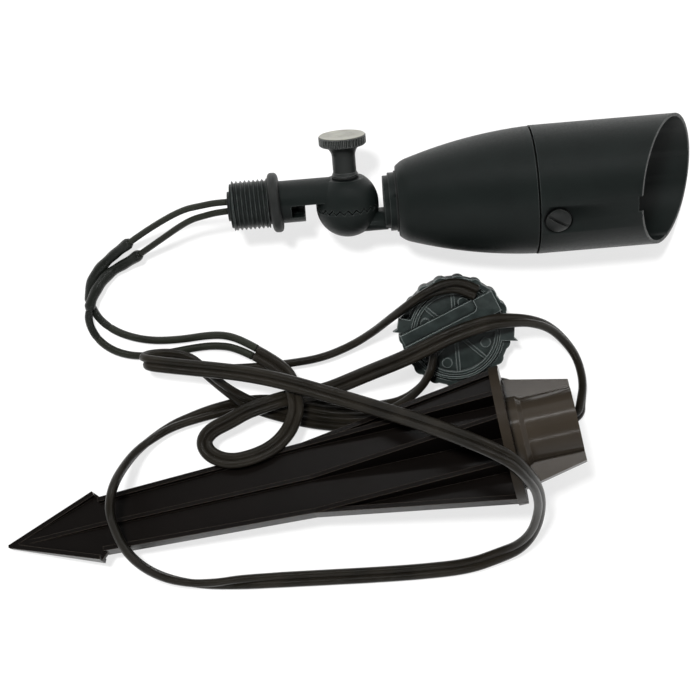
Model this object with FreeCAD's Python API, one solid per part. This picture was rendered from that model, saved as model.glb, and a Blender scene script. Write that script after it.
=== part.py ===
import FreeCAD, Part
import math
import os

os.makedirs("parts", exist_ok=True)

# A low-voltage bullet spotlight for the garden, laid out flat on a table as it comes out of its box:
# the lamp with its tilting knuckle and threaded nipple, its two fixture leads spliced to a two-core
# lead, a round quick connector on the end of that lead, and the ground stake, not yet screwed on.
# Millimetres. +X to the right along the lamp, +Z up from the table, Z = 0 is the table.

V = FreeCAD.Vector

# ---------------------------------------------------------------- where each group lies on the table
LAMP_START = V(-49.7, 53.0, 27.3)     # open end of the nipple, on the axis of the lamp head
LAMP_HEADING = 4.84                   # the lamp's axis, turned from +X
LAMP_ROLL = 20.0                      # the thumb screw leans up from the table by this much
STAKE_TIP = V(-148.5, -90.0, 4.9)
STAKE_HEADING = 13.1
STAKE_PITCH = 6.45                    # the stake rests on its disc and one barb
STAKE_ROLL = -22.0
CONNECTOR_SPOT = V(45.5, 5.7, 4.25)
CONNECTOR_TILT = 11.0
CONNECTOR_SPIN = 27.5                 # direction of the clamp bar

# ---------------------------------------------------------------- clearances
RUN = 0.06                            # radial, screws and pins that turn in a bore
FACE = 0.10                           # between faces of parts that turn on each other
SEAT = 0.02                           # between pieces pushed together once

# ---------------------------------------------------------------- nipple and arm
NIPPLE_R = 10.5                       # half-inch parallel pipe thread, outside
NIPPLE_LENGTH = 16.0
NIPPLE_CHAMFER = 1.0
ARM_OFFSET = 3.8                      # the arm's axis stands off the head's axis by this
ARM_R = 8.9
ARM_FULL_END = 31.0                   # the lower half of the arm ends here
WIRE_BORE_R = 4.6
WIRE_SLOT_LENGTH = 5.5
WIRE_SLOT_HEIGHT = 5.5
O_RING_R = 12.6
O_RING_WIDTH = 6.0
O_RING_ROUND = 2.2
GROMMET_FLANGE = 1.2
GROMMET_FLANGE_OUT = 1.6              # past the wire bore
GROMMET_LENGTH = 6.0
LEAD_SPREAD = 2.0                     # each fixture lead off the nipple's axis
LEAD_R = 1.35
LEAD_SHORT = 0.5                      # the leads end this much inside the arm's wire bore

# ---------------------------------------------------------------- knuckle
KNUCKLE_AT = 49.0                     # from the open end of the nipple to the tilt axis
KNUCKLE_R = 13.2
SCREW_SEAT = 12.0                     # flat on the dome, above the parting plane
TEETH = 24
TOOTH_RISE = 0.85                     # crest above the parting plane at the rim
TOOTH_GAP = 0.12
TOOTH_INNER_R = 8.0
TOOTH_FOOT = 0.4                      # from the tooth roots to the ball
TOOTH_ZONE = 1.0                      # slack beyond the teeth when they are cut to the ball
DOME_MIDDLE = 40.0                    # direction of a point half way up the dome
NECK_DROP = 7.0                       # the neck's middle below the parting plane
NECK_THICKNESS = 8.0
NECK_WIDTH = 13.0
NECK_START = 3.0                      # inside the knuckle ball, ahead of the tilt axis
NECK_ROUND = 0.42                     # of the neck's thickness, at its long edges
RING_AT = 64.4                        # rear ring of the head
RING_STEPS = ((2.2, 11.2), (2.7, 12.3))   # length and radius of each step
SPIGOT_REAR_R = 8.0
SPIGOT_REAR_LENGTH = 5.0
HEAD_WIRE_R = 2.6
INSERT_R = 4.6
INSERT_TOP = 1.6                      # below the parting plane
INSERT_LENGTH = 8.6

# ---------------------------------------------------------------- thumb screw
SCREW_R = 3.0
WASHER_R = 5.7
WASHER_THICKNESS = 0.9
WASHER_ROOM = 0.6                     # flat left round the washer on the arm
STEM_FOOT_R = 5.5
STEM_R = 4.9
STEM_FOOT = 1.6
STEM_STRAIGHT = 6.5
STEM_FLARE = 5.0
STEM_FLARE_R = 7.9
KNOB_R = 9.9
KNOB_THICKNESS = 4.2
KNURLS = 40
KNURL_DEPTH = 0.55
KNURL_SHARE = 0.72                    # of the knurl spacing, open at the outside
KNOB_CHAMFER = 0.5

# ---------------------------------------------------------------- lamp body
GASKET_THICKNESS = 0.8
GASKET_OUT = 0.6                      # past the rear ring of the head
BODY_REAR_R = 14.8
BODY_NOSE = 5.6                       # length of the tight curve at the rear
BODY_NOSE_R = 17.9
BODY_NOSE_BEND = (0.36, 0.52)         # a point on the nose curve, as shares of its length and rise
BODY_MIDDLE = 31.0                    # a point on the long curve
BODY_MIDDLE_R = 24.1
BODY_R = 26.9
BODY_LENGTH = 56.4
BODY_WALL = 2.4
BODY_BACK = 4.5
CAVITY_CORNER = 1.2                   # extra wall where the cavity starts
CAVITY_STRAIGHT = 4.0                 # straight bore behind the spigot
FRONT_SPIGOT_R = 24.85
FRONT_SPIGOT_BORE_R = 22.4
FRONT_SPIGOT_LENGTH = 10.5
SEAL_GROOVE_AT = 2.0
SEAL_SIZE = 2.2
SEAL_OUT = 0.6                        # of the seal's section, above the bottom of a full-depth groove
SEAL_PLAY = 0.1
TAP_R = 1.5                           # screw hole in each boss
BOSS_R = 2.6
BOSS_HEIGHT = 3.0
BOSS_SPACING = 23.6
BRACKET_THICKNESS = 1.2
BRACKET_WIDTH = 12.0
BRACKET_REACH = 12.0
BRACKET_HOLE_R = 1.6
BRACKET_SCREW_R = 1.45
BRACKET_SCREW_SHORT = 0.5             # the screws end above the bottom of the bosses
BRACKET_HEAD_R = 1.9
BRACKET_HEAD = 1.7
BRACKET_SLOT = (0.7, 0.8)             # width and depth of the slot in each head
WIRE_WINDOW = (8.0, 10.0)             # opening of the bracket behind the socket

# ---------------------------------------------------------------- bulb and socket
BULB_R = 24.8
BULB_FRONT = 14.2                     # ahead of the body's front edge
BULB_LENGTH = 44.0
BULB_RIM = 2.2
BULB_NECK_R = 7.2
BULB_BASE_LENGTH = 7.5
BULB_GLASS = 1.5
BULB_BOW = 1.6                        # the mirror bows out from a straight cone
BULB_FLOOR = 3.0                      # glass behind the mirror
BULB_SHOULDER = 2.6                   # the rim stands out from the mirror
BULB_BASE_HALF = (6.4, 4.4)
BULB_BASE_ROUND = 1.5
COVER_LIP = 1.0
COVER_THICKNESS = 1.2
CAPSULE_R = 4.6
CAPSULE_LENGTH = 20.0
PIN_R = 0.78
PIN_SPACING = 5.33
PIN_LENGTH = 7.4
SOCKET_R = 8.6
SOCKET_LENGTH = 13.5
SOCKET_GAP = 0.3                      # between socket and bulb base
SOCKET_HALF = 6.0                     # flat sides
LEAD_ENTRY = 4.0
PIN_HOLE_SPARE = 0.5
LEAD_PLAY = 0.1                       # at the bottom of the socket's lead holes

# ---------------------------------------------------------------- glare shroud
SEAM = 0.8
SHROUD_R = 27.1
SHROUD_BORE_R = 25.0
SHROUD_THIN = 1.4                     # wall ahead of the lens
SHROUD_SHORT = 41.0                   # from the seam to the short side of the rim
SHROUD_LONG = 72.7                    # from the seam to the long side of the rim
SHROUD_TURN = 6.0                     # the short side, past the lamp's own roll
SHROUD_SCREW_TURN = 15.0
SHROUD_SCREW_AT = 7.0
SCREW_WELL_R = 5.9
SCREW_WELL_FLOOR = 25.95
SHROUD_SCREW_HEAD_R = 5.15
SHROUD_SCREW_HEAD = 2.2
SHROUD_SCREW_R = 2.5
SHROUD_SCREW_CROWN = (0.6, 0.55, 0.874)   # radius of a point on the crown; heights of edge and point
SLOT_WIDTH = 1.3
SLOT_DEPTH = 1.1
SLOT_TURN = 33.0
DRAIN_WIDTH = 6.6
DRAIN_DEPTH = 3.2
LEDGE_AT = 16.9
LEDGE_WIDTH = 1.4
LEDGE_R = 23.6
LENS_R = 25.3
LENS_THICKNESS = 3.0
LENS_GASKET = 1.2
LENS_GASKET_IN = 0.4                  # the gasket's bore, inside the ledge's
CLIP_WIRE = 1.3

# ---------------------------------------------------------------- ground stake
STAKE_LENGTH = 252.0
WEB = 2.2
FLANGE = 2.0
BARB_AT = 41.0
BARB_HALF = 15.4
BARB_BACK = 4.0                       # the barb's back edge leans forward by this
NECK_HALF = 11.4
BLADE_AT = 50.0
BLADE_HALF = 12.4
FORK_AT = 137.0
FORK_HALF = 15.9
FLANGE_RISE = 4.0                     # half height of the flanges along the blade
FLANGE_TOP = 14.5                     # half height of the inner flanges at the disc
RIB_RISE = 3.4
DISC_AT = 220.5
DISC_R = 29.7
DISC_THICKNESS = 4.0
SOCKET_COLLAR_R = 15.6
SOCKET_COLLAR = 6.0
STAKE_SOCKET_R = 14.25
STAKE_BORE_R = 10.65
STAKE_BORE_DEPTH = 25.0
GUSSET = 3.0
GUSSET_FOOT = 24.5
GUSSET_LIP = 18.2
POINT_HALF = 0.6                      # half width of the web at the tip
WING_OVERLAP = 1.0                    # wings and rib run into the disc by this
RIM_MARGIN = 0.6                      # of the disc, outside the wings
NECK_FLANGE = 7.0                     # the blade's flanges start this far before it
RIB_TIP = (8.0, 1.0)                  # start and half height of the middle rib at the tip
RIB_GROWTH = 0.6                      # from barb to fork
RIB_THICKNESS = 1.76
COLLAR_SLOPE = 2.0

# ---------------------------------------------------------------- connector
CUP_R = 21.2
CUP_HEIGHT = 10.0
CUP_WALL = 2.4
CUP_BOSS_R = 8.0
CUP_BOSS = 2.4
GRIP_R = 23.5                         # knurled turning ring, between its lobes
GRIP_BORE_R = 21.4
GRIP_AT = 2.5
GRIP_HEIGHT = 7.0
LOBES = 18
LOBE_R = 3.4
LOBE_OUT = 0.9                        # how far each lobe stands out
FACE_R = 20.1
FACE_THICKNESS = 1.6
RIM_RISE = 1.4                        # two beads round the face
OUTER_BEAD_R = 18.9                   # inner edge of the outer bead
INNER_BEAD = (16.9, 18.3)
SPOKES = 8
SPOKE_START = 68.0                    # direction of the first spoke, from the clamp bar
SPOKE_WIDTH = 1.5
SPOKE_HUB_R = 2.0
SPOKE_RISE = 0.8
STUD_R = 2.15
STUD_RING_R = 13.6
STUD_TURNS = (135.0, 50.0, -45.0, 228.0)
EAR_TURNS = (145.0, -28.0)            # both ears lie across the picture, not along the clamp bar
EAR_START_R = 19.0
EAR_REACH_R = 25.2
EAR_FOOT_R = 26.8
EAR_HALF = 3.1
EAR_FOOT = 1.4
BAR_LENGTH = 43.5
BAR_WIDTH = 9.6
BAR_OFFSET = 5.4                      # the clamp bar stands off the middle of the face
BAR_HEIGHT = 2.6
LATCH_BLOCK = 8.8                     # length of the latch's block at the bar's right end
LATCH_STRIP = 4.7                     # width of the latch's long strip
LATCH_STEP = 2.2                      # radius of the curve between block and strip
LATCH_RISE = 1.6

# ---------------------------------------------------------------- cords, as they lie on the table
FIXTURE_LEAD_R = 1.4
SLEEVE_R = 2.3                        # heat-shrink sleeve over each splice
END_SLEEVE_R = 1.65
CONDUCTOR_R = 1.7
CORD_R = 2.55                         # round section with the area of the flat two-core cord
CORNER_SHARE = 0.45                   # of the shorter run, taken by the arc at each corner
SPLICE_RUNS = (6, 9)                  # edges of a fixture lead's route that its splice sleeve covers
END_SLEEVE_RUNS = (9, 11)             # edges that its end sleeve covers
FIXTURE_LEAD_A_ROUTE = [
    (-51.7, 58.3, 29.3), (-56.5, 58, 29), (-62.5, 57, 27.2), (-71.5, 55.5, 23.2), (-86, 48.5, 14.5),
    (-103, 38, 4.4), (-111.5, 29.5, 1.9), (-114, 22.5, 1.8), (-113.5, 15.5, 1.8), (-109, 8.5, 1.8),
    (-100.5, 3, 1.8), (-88, 0, 1.8), (-74.5, 0.5, 1.8), (-62, 2.5, 1.8), (-54, 2.5, 2.2),
    (-46.5, 0, 4.1), (-40.3, -3.4, 6.1)
]
FIXTURE_LEAD_B_ROUTE = [
    (-51.4, 54.6, 27.9), (-56, 54, 27.8), (-60.5, 53, 26.9), (-68.5, 51, 23.8), (-80.5, 44, 14.8),
    (-95.5, 35, 4.8), (-105, 30, 3), (-109.5, 24, 5.7), (-113, 16.5, 6.3), (-114.5, 8.5, 3.4),
    (-110.5, 0.5, 1.8), (-102.5, -5, 1.8), (-92, -7, 1.8), (-80.5, -5.5, 1.8), (-68, -3, 1.8),
    (-59, -2, 2), (-49.5, -3, 4), (-42.2, -6.7, 6.1)
]
LEAD_CORD_ROUTE = [
    (-40.8, -5.3, 6.2), (-33, -9.5, 9), (-25.5, -15.5, 12.4), (-22, -23.5, 17), (-27, -36.5, 11.5),
    (-39, -47.5, 3.4), (-53, -50.5, 2.6), (-63, -46, 3.6), (-63.5, -36, 7.6), (-54.5, -29.5, 12.2),
    (-43, -26.5, 13.9), (-35, -25.5, 12.8), (-24, -23, 9.5), (-13, -18, 6.5), (-1.5, -12.5, 9),
    (9.5, -8, 19), (21, -2.5, 28.5), (40, 2.5, 30.5), (59, 8, 29.5), (74.5, 10, 22), (87, 8, 9.5),
    (97.5, 1.5, 2.6), (105, -11, 2.6), (107, -23.5, 2.6), (103.5, -33.5, 2.6), (93.5, -36.5, 2.6),
    (81.5, -28.5, 2.6), (70.5, -20, 2.6), (61.5, -19, 2.6), (52, -22, 2.6), (38.5, -27, 2.6),
    (22, -32.5, 2.6), (5.5, -36.5, 2.6), (-11, -36, 2.6), (-26, -33, 4.4), (-40, -29, 8.2),
    (-49.5, -24, 8.2), (-58, -18, 3.6), (-63, -11.5, 3.4), (-69.5, -6, 6), (-78, -4, 6.5),
    (-87.5, -4.5, 6.5), (-87, -9, 16.4), (-76.5, -10.5, 16.6), (-62, -12, 16.4), (-45, -14, 17.5),
    (-27.5, -17, 21), (-6, -24, 26), (17, -30.5, 38), (39, -36.5, 52), (55.5, -42, 63), (66, -47, 67),
    (75.5, -54, 60), (81, -65, 43), (83, -76, 24), (80, -86.5, 10), (69.5, -96.5, 2.8),
    (49, -104.5, 2.6), (22, -109, 2.6), (-21.5, -109, 2.6), (-54.5, -106.5, 3.5), (-79.5, -98.5, 14),
    (-94, -84.5, 26.5), (-102, -71.5, 26.5), (-105.5, -59, 13), (-99.5, -47.5, 2.6), (-85, -41, 2.6),
    (-70, -34.5, 2.6), (-56, -30.5, 2.6), (-43.5, -27, 2.6), (-31.5, -27, 2.6), (-19.5, -28, 2.6),
    (-6.5, -30.5, 2.6), (6.5, -30.5, 2.6), (16, -28.5, 2.6), (22.5, -26, 3.6), (27, -22, 8.4),
    (30.5, -18, 14), (33, -13, 17.8), (34.5, -8.5, 19.2), (35.8, -4.2, 19.8)
]
LEAD_TAIL_ROUTE = [
    (53.7, 20.3, 23.6), (49, 22.5, 24.8), (43.5, 23.5, 26), (37.5, 22, 26.4), (31, 19, 26.2),
    (25, 15, 24.8), (17.5, 9.5, 18.2), (10.5, 4, 8.2), (1, -2, 2.6), (-12, -7.5, 2.6), (-27, -10, 2.6),
    (-41.5, -11.5, 2.6), (-53, -12, 2.6)
]


def lamp_place():
    """The lamp's own frame: X along its axis, Y towards the thumb screw, Z across."""
    turn = FreeCAD.Rotation(LAMP_HEADING, 0, LAMP_ROLL)
    return FreeCAD.Placement(LAMP_START, turn)


def stake_place():
    return FreeCAD.Placement(STAKE_TIP, FreeCAD.Rotation(STAKE_HEADING, -STAKE_PITCH, STAKE_ROLL))


def connector_place():
    tilt = FreeCAD.Rotation(V(1, 0, 0), CONNECTOR_TILT)
    spin = FreeCAD.Rotation(V(0, 0, 1), CONNECTOR_SPIN)
    return FreeCAD.Placement(CONNECTOR_SPOT, tilt.multiply(spin))


def shaped(points):
    """A face from points, where a triple (through, to) pair of points makes an arc."""
    edges = []
    here = points[0]
    for item in points[1:]:
        if isinstance(item, tuple):
            through, there = item
            edges.append(Part.Arc(here, through, there).toShape())
        else:
            there = item
            edges.append(Part.LineSegment(here, there).toShape())
        here = there
    if (here - points[0]).Length > 1e-7:
        edges.append(Part.LineSegment(here, points[0]).toShape())
    return Part.Face(Part.Wire(edges))


def turned(points, axis=V(1, 0, 0), centre=V(0, 0, 0)):
    """A solid of revolution from a half section."""
    return shaped(points).revolve(centre, axis, 360)


def rod(radius, start, end):
    return Part.makeCylinder(radius, (end - start).Length, start, end - start)


def block(low, high):
    size = high - low
    return Part.makeBox(size.x, size.y, size.z, low)


def ring(outer, inner, start, length, axis=V(1, 0, 0)):
    body = Part.makeCylinder(outer, length, start, axis)
    return body.cut(Part.makeCylinder(inner, length, start, axis))


def around(shape, count, centre, axis):
    copies = []
    for i in range(count):
        copy = shape.copy()
        copy.rotate(centre, axis, 360.0 * i / count)
        copies.append(copy)
    return copies


# ================================================================ knuckle teeth
def tooth_crown(depth, flip):
    """Radial teeth as a full crown: triangular ridges that run to the axis and meet at the centre.

    flip = 1 gives the half below the parting plane, -1 the half above it, turned by half a tooth.
    """
    half = math.pi / TEETH
    reach = KNUCKLE_R * 1.2
    rise = TOOTH_RISE * reach / KNUCKLE_R
    sectors = []
    for i in range(TEETH):
        middle = (i + (0.0 if flip > 0 else 0.5)) * 2 * half
        left = V(math.cos(middle - half), 0, math.sin(middle - half)) * reach
        right = V(math.cos(middle + half), 0, math.sin(middle + half)) * reach
        crest = (left + right) * 0.5
        up = V(0, flip, 0)
        o_low, o_top = up * -depth, V(0, 0, 0)
        l_low, r_low = left - up * depth, right - up * depth
        l_top, r_top = left - up * rise, right - up * rise
        c_top = crest + up * rise
        faces = [(o_top, l_top, c_top), (o_top, c_top, r_top), (o_low, r_low, l_low),
                 (o_low, l_low, l_top, o_top), (o_low, o_top, r_top, r_low),
                 (l_low, r_low, r_top, c_top, l_top)]
        shell = Part.Shell([Part.Face(Part.makePolygon(list(f) + [f[0]])) for f in faces])
        sectors.append(Part.Solid(shell))
    crown = sectors[0].fuse(sectors[1:]).removeSplitter()
    crown.translate(V(KNUCKLE_AT, 0, 0))
    return crown


def knuckle_half(flip):
    """Half of the knuckle ball without its teeth, and the disc in which its teeth lie."""
    foot = TOOTH_RISE + TOOTH_FOOT
    root = foot + TOOTH_GAP if flip < 0 else foot
    shoulder, top = (root, SCREW_SEAT) if flip < 0 else (0.0, KNUCKLE_R)
    flat = math.sqrt(KNUCKLE_R ** 2 - (top - shoulder) ** 2)
    start = V(math.sqrt(KNUCKLE_R ** 2 - (root - shoulder) ** 2), root, 0)
    slope = math.radians(DOME_MIDDLE)
    middle = V(KNUCKLE_R * math.cos(slope), shoulder + KNUCKLE_R * math.sin(slope), 0)
    points = [V(0, root, 0), start, (middle, V(flat, top, 0))]
    if flat > 0:
        points.append(V(0, top, 0))
    half = turned(points, V(0, 1, 0))
    depth = TOOTH_RISE + TOOTH_ZONE
    zone = Part.makeCylinder(KNUCKLE_R, foot + depth, V(0, -depth, 0), V(0, 1, 0))
    if flip > 0:
        half = half.mirror(V(0, 0, 0), V(0, 1, 0))
        zone = zone.mirror(V(0, 0, 0), V(0, 1, 0))
    half.translate(V(KNUCKLE_AT, 0, 0))
    zone.translate(V(KNUCKLE_AT, 0, 0))
    return half, zone


def toothed_half(flip):
    half, zone = knuckle_half(flip)
    crown = tooth_crown(TOOTH_RISE + 2 * TOOTH_ZONE, flip)
    teeth = zone.common(crown)
    if flip < 0:
        teeth.translate(V(0, TOOTH_GAP, 0))
    half = half.fuse(teeth).removeSplitter()
    relief = Part.makeCylinder(TOOTH_INNER_R, 2 * TOOTH_RISE + TOOTH_GAP,
                               V(KNUCKLE_AT, -TOOTH_RISE, 0), V(0, 1, 0))
    return half.cut(relief)


# ================================================================ arm side
def make_knuckle_arm():
    centre = V(0, ARM_OFFSET, 0)
    nipple = turned([V(0, 0, 0), V(0, NIPPLE_R - NIPPLE_CHAMFER, 0), V(NIPPLE_CHAMFER, NIPPLE_R, 0),
                     V(NIPPLE_LENGTH, NIPPLE_R, 0), V(NIPPLE_LENGTH, 0, 0)])
    nipple.translate(centre)
    barrel = rod(ARM_R, centre, V(ARM_FULL_END, ARM_OFFSET, 0))
    beam_end = V(KNUCKLE_AT - WASHER_R - WASHER_ROOM, ARM_OFFSET, 0)
    beam = rod(ARM_R, V(ARM_FULL_END - 1, ARM_OFFSET, 0), beam_end)
    beam = beam.common(block(V(0, ARM_OFFSET, -20), V(60, 30, 20)))
    dome = toothed_half(-1)
    arm = nipple.fuse([barrel, beam, dome]).removeSplitter()
    bore = rod(WIRE_BORE_R, centre - V(1, 0, 0), V(ARM_FULL_END - WIRE_SLOT_LENGTH / 2, ARM_OFFSET, 0))
    slot = block(V(ARM_FULL_END - WIRE_SLOT_LENGTH, ARM_OFFSET - WIRE_SLOT_HEIGHT, 0),
                 V(ARM_FULL_END + 1, ARM_OFFSET, 20))
    screw_hole = rod(SCREW_R + RUN, V(KNUCKLE_AT, -5, 0), V(KNUCKLE_AT, 20, 0))
    gap = block(V(ARM_FULL_END, -20, -20), V(KNUCKLE_AT - KNUCKLE_R - 1, ARM_OFFSET, 20))
    return arm.cut([bore, slot, screw_hole, gap])


def make_nipple_o_ring():
    inner = ARM_R + SEAT
    start = NIPPLE_LENGTH + SEAT
    end = start + O_RING_WIDTH
    lift = O_RING_ROUND * (1 - math.sqrt(0.5))
    points = [V(start, inner, 0), V(start, O_RING_R - O_RING_ROUND, 0),
              (V(start + lift, O_RING_R - lift, 0), V(start + O_RING_ROUND, O_RING_R, 0)),
              V(end - O_RING_ROUND, O_RING_R, 0),
              (V(end - lift, O_RING_R - lift, 0), V(end, O_RING_R - O_RING_ROUND, 0)),
              V(end, inner, 0)]
    body = turned(points)
    body.translate(V(0, ARM_OFFSET, 0))
    return body


def lead_spots():
    return [V(0, ARM_OFFSET + side * LEAD_SPREAD, 0) for side in (1, -1)]


def make_wire_grommet():
    plug = rod(WIRE_BORE_R - SEAT, V(0, ARM_OFFSET, 0), V(GROMMET_LENGTH, ARM_OFFSET, 0))
    flange_r = WIRE_BORE_R + GROMMET_FLANGE_OUT
    flange = rod(flange_r, V(-GROMMET_FLANGE, ARM_OFFSET, 0), V(0, ARM_OFFSET, 0))
    holes = [rod(LEAD_R + SEAT, p - V(3, 0, 0), p + V(GROMMET_LENGTH + 1, 0, 0)) for p in lead_spots()]
    return plug.fuse(flange).removeSplitter().cut(holes)


def make_arm_leads():
    start = V(-GROMMET_FLANGE, 0, 0)
    end = V(ARM_FULL_END - WIRE_SLOT_LENGTH / 2 - LEAD_SHORT, 0, 0)
    return Part.makeCompound([rod(LEAD_R, spot + start, spot + end) for spot in lead_spots()])


# ================================================================ head side
def make_head_knuckle():
    dome = toothed_half(1)
    neck_start = KNUCKLE_AT + NECK_START
    low = V(neck_start, -NECK_DROP - NECK_THICKNESS / 2, -NECK_WIDTH / 2)
    neck = block(low, V(RING_AT + 1, -NECK_DROP + NECK_THICKNESS / 2, NECK_WIDTH / 2))
    long_edges = [e for e in neck.Edges if abs(e.BoundBox.XLength - (RING_AT + 1 - neck_start)) < 1e-3]
    neck = neck.makeFillet(NECK_THICKNESS * NECK_ROUND, long_edges)
    pieces = [dome, neck]
    at = RING_AT
    for length, radius in RING_STEPS:
        pieces.append(rod(radius, V(at, 0, 0), V(at + length, 0, 0)))
        at += length
    pieces.append(rod(SPIGOT_REAR_R, V(at, 0, 0), V(at + GASKET_THICKNESS + SPIGOT_REAR_LENGTH, 0, 0)))
    head = pieces[0].fuse(pieces[1:]).removeSplitter()
    spigot_end = at + GASKET_THICKNESS + SPIGOT_REAR_LENGTH
    wire = rod(HEAD_WIRE_R, V(KNUCKLE_AT + INSERT_R + 2, -NECK_DROP, 0), V(RING_AT + 2, -NECK_DROP, 0))
    wire_out = rod(HEAD_WIRE_R, V(RING_AT + 2, -NECK_DROP, 0), V(spigot_end + 1, -3.0, 0))
    elbow = Part.makeSphere(HEAD_WIRE_R, V(RING_AT + 2, -NECK_DROP, 0))
    seat = rod(INSERT_R + SEAT, V(KNUCKLE_AT, 3, 0), V(KNUCKLE_AT, -INSERT_TOP - INSERT_LENGTH, 0))
    return head.cut([wire, wire_out, elbow, seat])


def head_rear():
    return RING_AT + sum(length for length, radius in RING_STEPS)


def make_knuckle_insert():
    top = V(KNUCKLE_AT, -INSERT_TOP, 0)
    foot = V(KNUCKLE_AT, -INSERT_TOP - INSERT_LENGTH, 0)
    nut = rod(INSERT_R, foot, top)
    return nut.cut(rod(SCREW_R + RUN, foot - V(0, 1, 0), top + V(0, 1, 0)))


def make_rear_gasket():
    outer = RING_STEPS[-1][1] + GASKET_OUT
    return ring(outer, SPIGOT_REAR_R + SEAT, V(head_rear(), 0, 0), GASKET_THICKNESS)


def body_start():
    return head_rear() + GASKET_THICKNESS


def body_end():
    return body_start() + BODY_LENGTH


def seal_floor():
    return FRONT_SPIGOT_R - SEAL_SIZE + SEAL_OUT


def make_lamp_body():
    start, end = body_start(), body_end()
    nose = V(start + BODY_NOSE, BODY_NOSE_R, 0)
    nose_rise = (BODY_NOSE_R - BODY_REAR_R) * BODY_NOSE_BEND[1]
    nose_mid = V(start + BODY_NOSE * BODY_NOSE_BEND[0], BODY_REAR_R + nose_rise, 0)
    middle = V(start + BODY_MIDDLE, BODY_MIDDLE_R, 0)
    tip = end + FRONT_SPIGOT_LENGTH
    outer = turned([V(start, 0, 0), V(start, BODY_REAR_R, 0), (nose_mid, nose),
                    (middle, V(end, BODY_R, 0)), V(end, FRONT_SPIGOT_R, 0),
                    V(tip, FRONT_SPIGOT_R, 0), V(tip, 0, 0)])
    back = start + BODY_BACK
    cavity = turned([V(back, 0, 0), V(back, BODY_NOSE_R - BODY_WALL - CAVITY_CORNER, 0),
                     (middle - V(0, BODY_WALL, 0), V(end - CAVITY_STRAIGHT, FRONT_SPIGOT_BORE_R, 0)),
                     V(tip + 1, FRONT_SPIGOT_BORE_R, 0), V(tip + 1, 0, 0)])
    hole = rod(SPIGOT_REAR_R + SEAT, V(start - 1, 0, 0), V(back + 1, 0, 0))
    groove_start = V(end + SEAL_GROOVE_AT, 0, 0)
    groove = ring(FRONT_SPIGOT_R + 1, seal_floor(), groove_start, SEAL_SIZE + SEAL_PLAY)
    bosses, taps = [], []
    for side in (1, -1):
        foot = V(back, 0, side * BOSS_SPACING / 2)
        bosses.append(rod(BOSS_R, foot - V(1, 0, 0), foot + V(BOSS_HEIGHT, 0, 0)))
        taps.append(rod(TAP_R, foot, foot + V(BOSS_HEIGHT + 1, 0, 0)))
    body = outer.cut([cavity, hole, groove]).fuse(bosses).removeSplitter()
    return body.cut(taps)


def make_body_seal():
    start = body_end() + SEAL_GROOVE_AT + SEAL_PLAY / 2
    return ring(SHROUD_BORE_R - SEAL_PLAY / 2, seal_floor() + SEAT, V(start, 0, 0), SEAL_SIZE)


def boss_top():
    return body_start() + BODY_BACK + BOSS_HEIGHT


def make_socket_bracket():
    at = boss_top()
    span = BOSS_SPACING / 2 + BOSS_R
    plate = block(V(at, -BRACKET_WIDTH / 2, -span), V(at + BRACKET_THICKNESS, BRACKET_WIDTH / 2, span))
    reach = at + BRACKET_THICKNESS + BRACKET_REACH
    tabs = []
    for side in (1, -1):
        edge = side * (SOCKET_R + SEAT)
        low, high = sorted((edge, edge + side * BRACKET_THICKNESS))
        tabs.append(block(V(at, -BRACKET_WIDTH / 2, low), V(reach, BRACKET_WIDTH / 2, high)))
    bracket = plate.fuse(tabs).removeSplitter()
    through = at + BRACKET_THICKNESS + 1
    holes = []
    for side in (1, -1):
        across = side * BOSS_SPACING / 2
        holes.append(rod(BRACKET_HOLE_R, V(at - 1, 0, across), V(through, 0, across)))
    wide, high = WIRE_WINDOW[0] / 2, WIRE_WINDOW[1] / 2
    wires = block(V(at - 1, -wide, -high), V(through, wide, high))
    return bracket.cut(holes + [wires])


def make_bracket_screws():
    at = boss_top() + BRACKET_THICKNESS
    screws = []
    for side in (1, -1):
        centre = V(at, 0, side * BOSS_SPACING / 2)
        reach = BRACKET_THICKNESS + BOSS_HEIGHT - BRACKET_SCREW_SHORT
        shank = rod(BRACKET_SCREW_R, centre - V(reach, 0, 0), centre)
        head = rod(BRACKET_HEAD_R, centre, centre + V(BRACKET_HEAD, 0, 0))
        half = BRACKET_SLOT[0] / 2
        slot = block(centre + V(BRACKET_HEAD - BRACKET_SLOT[1], -BRACKET_HEAD_R, -half),
                     centre + V(BRACKET_HEAD + 1, BRACKET_HEAD_R, half))
        screws.append(shank.fuse(head).removeSplitter().cut(slot))
    return Part.makeCompound(screws)


def bulb_front():
    return body_end() + BULB_FRONT


def bulb_back():
    return bulb_front() - BULB_LENGTH


def pin_spots():
    return [V(bulb_back(), side * PIN_SPACING / 2, 0) for side in (1, -1)]


def make_lamp_socket():
    front = bulb_back() - SOCKET_GAP
    back = front - SOCKET_LENGTH
    round_body = rod(SOCKET_R, V(back, 0, 0), V(front, 0, 0))
    body = round_body.common(block(V(back, -SOCKET_HALF, -SOCKET_R), V(front, SOCKET_HALF, SOCKET_R)))
    deep = front - PIN_LENGTH - PIN_HOLE_SPARE
    holes = [rod(PIN_R + RUN, V(deep, p.y, 0), V(front + 1, p.y, 0)) for p in pin_spots()]
    entries = [rod(LEAD_R + SEAT, V(back - 1, p.y, 0), V(back + LEAD_ENTRY, p.y, 0)) for p in pin_spots()]
    return body.cut(holes + entries)


def make_socket_leads():
    """Two short leads from the back of the socket to the wire hole of the head."""
    start = head_rear() + GASKET_THICKNESS + SPIGOT_REAR_LENGTH + 2 * LEAD_PLAY
    end = bulb_back() - SOCKET_GAP - SOCKET_LENGTH + LEAD_ENTRY - LEAD_PLAY
    return Part.makeCompound([rod(LEAD_R, V(start, p.y, 0), V(end, p.y, 0)) for p in pin_spots()])


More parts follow.
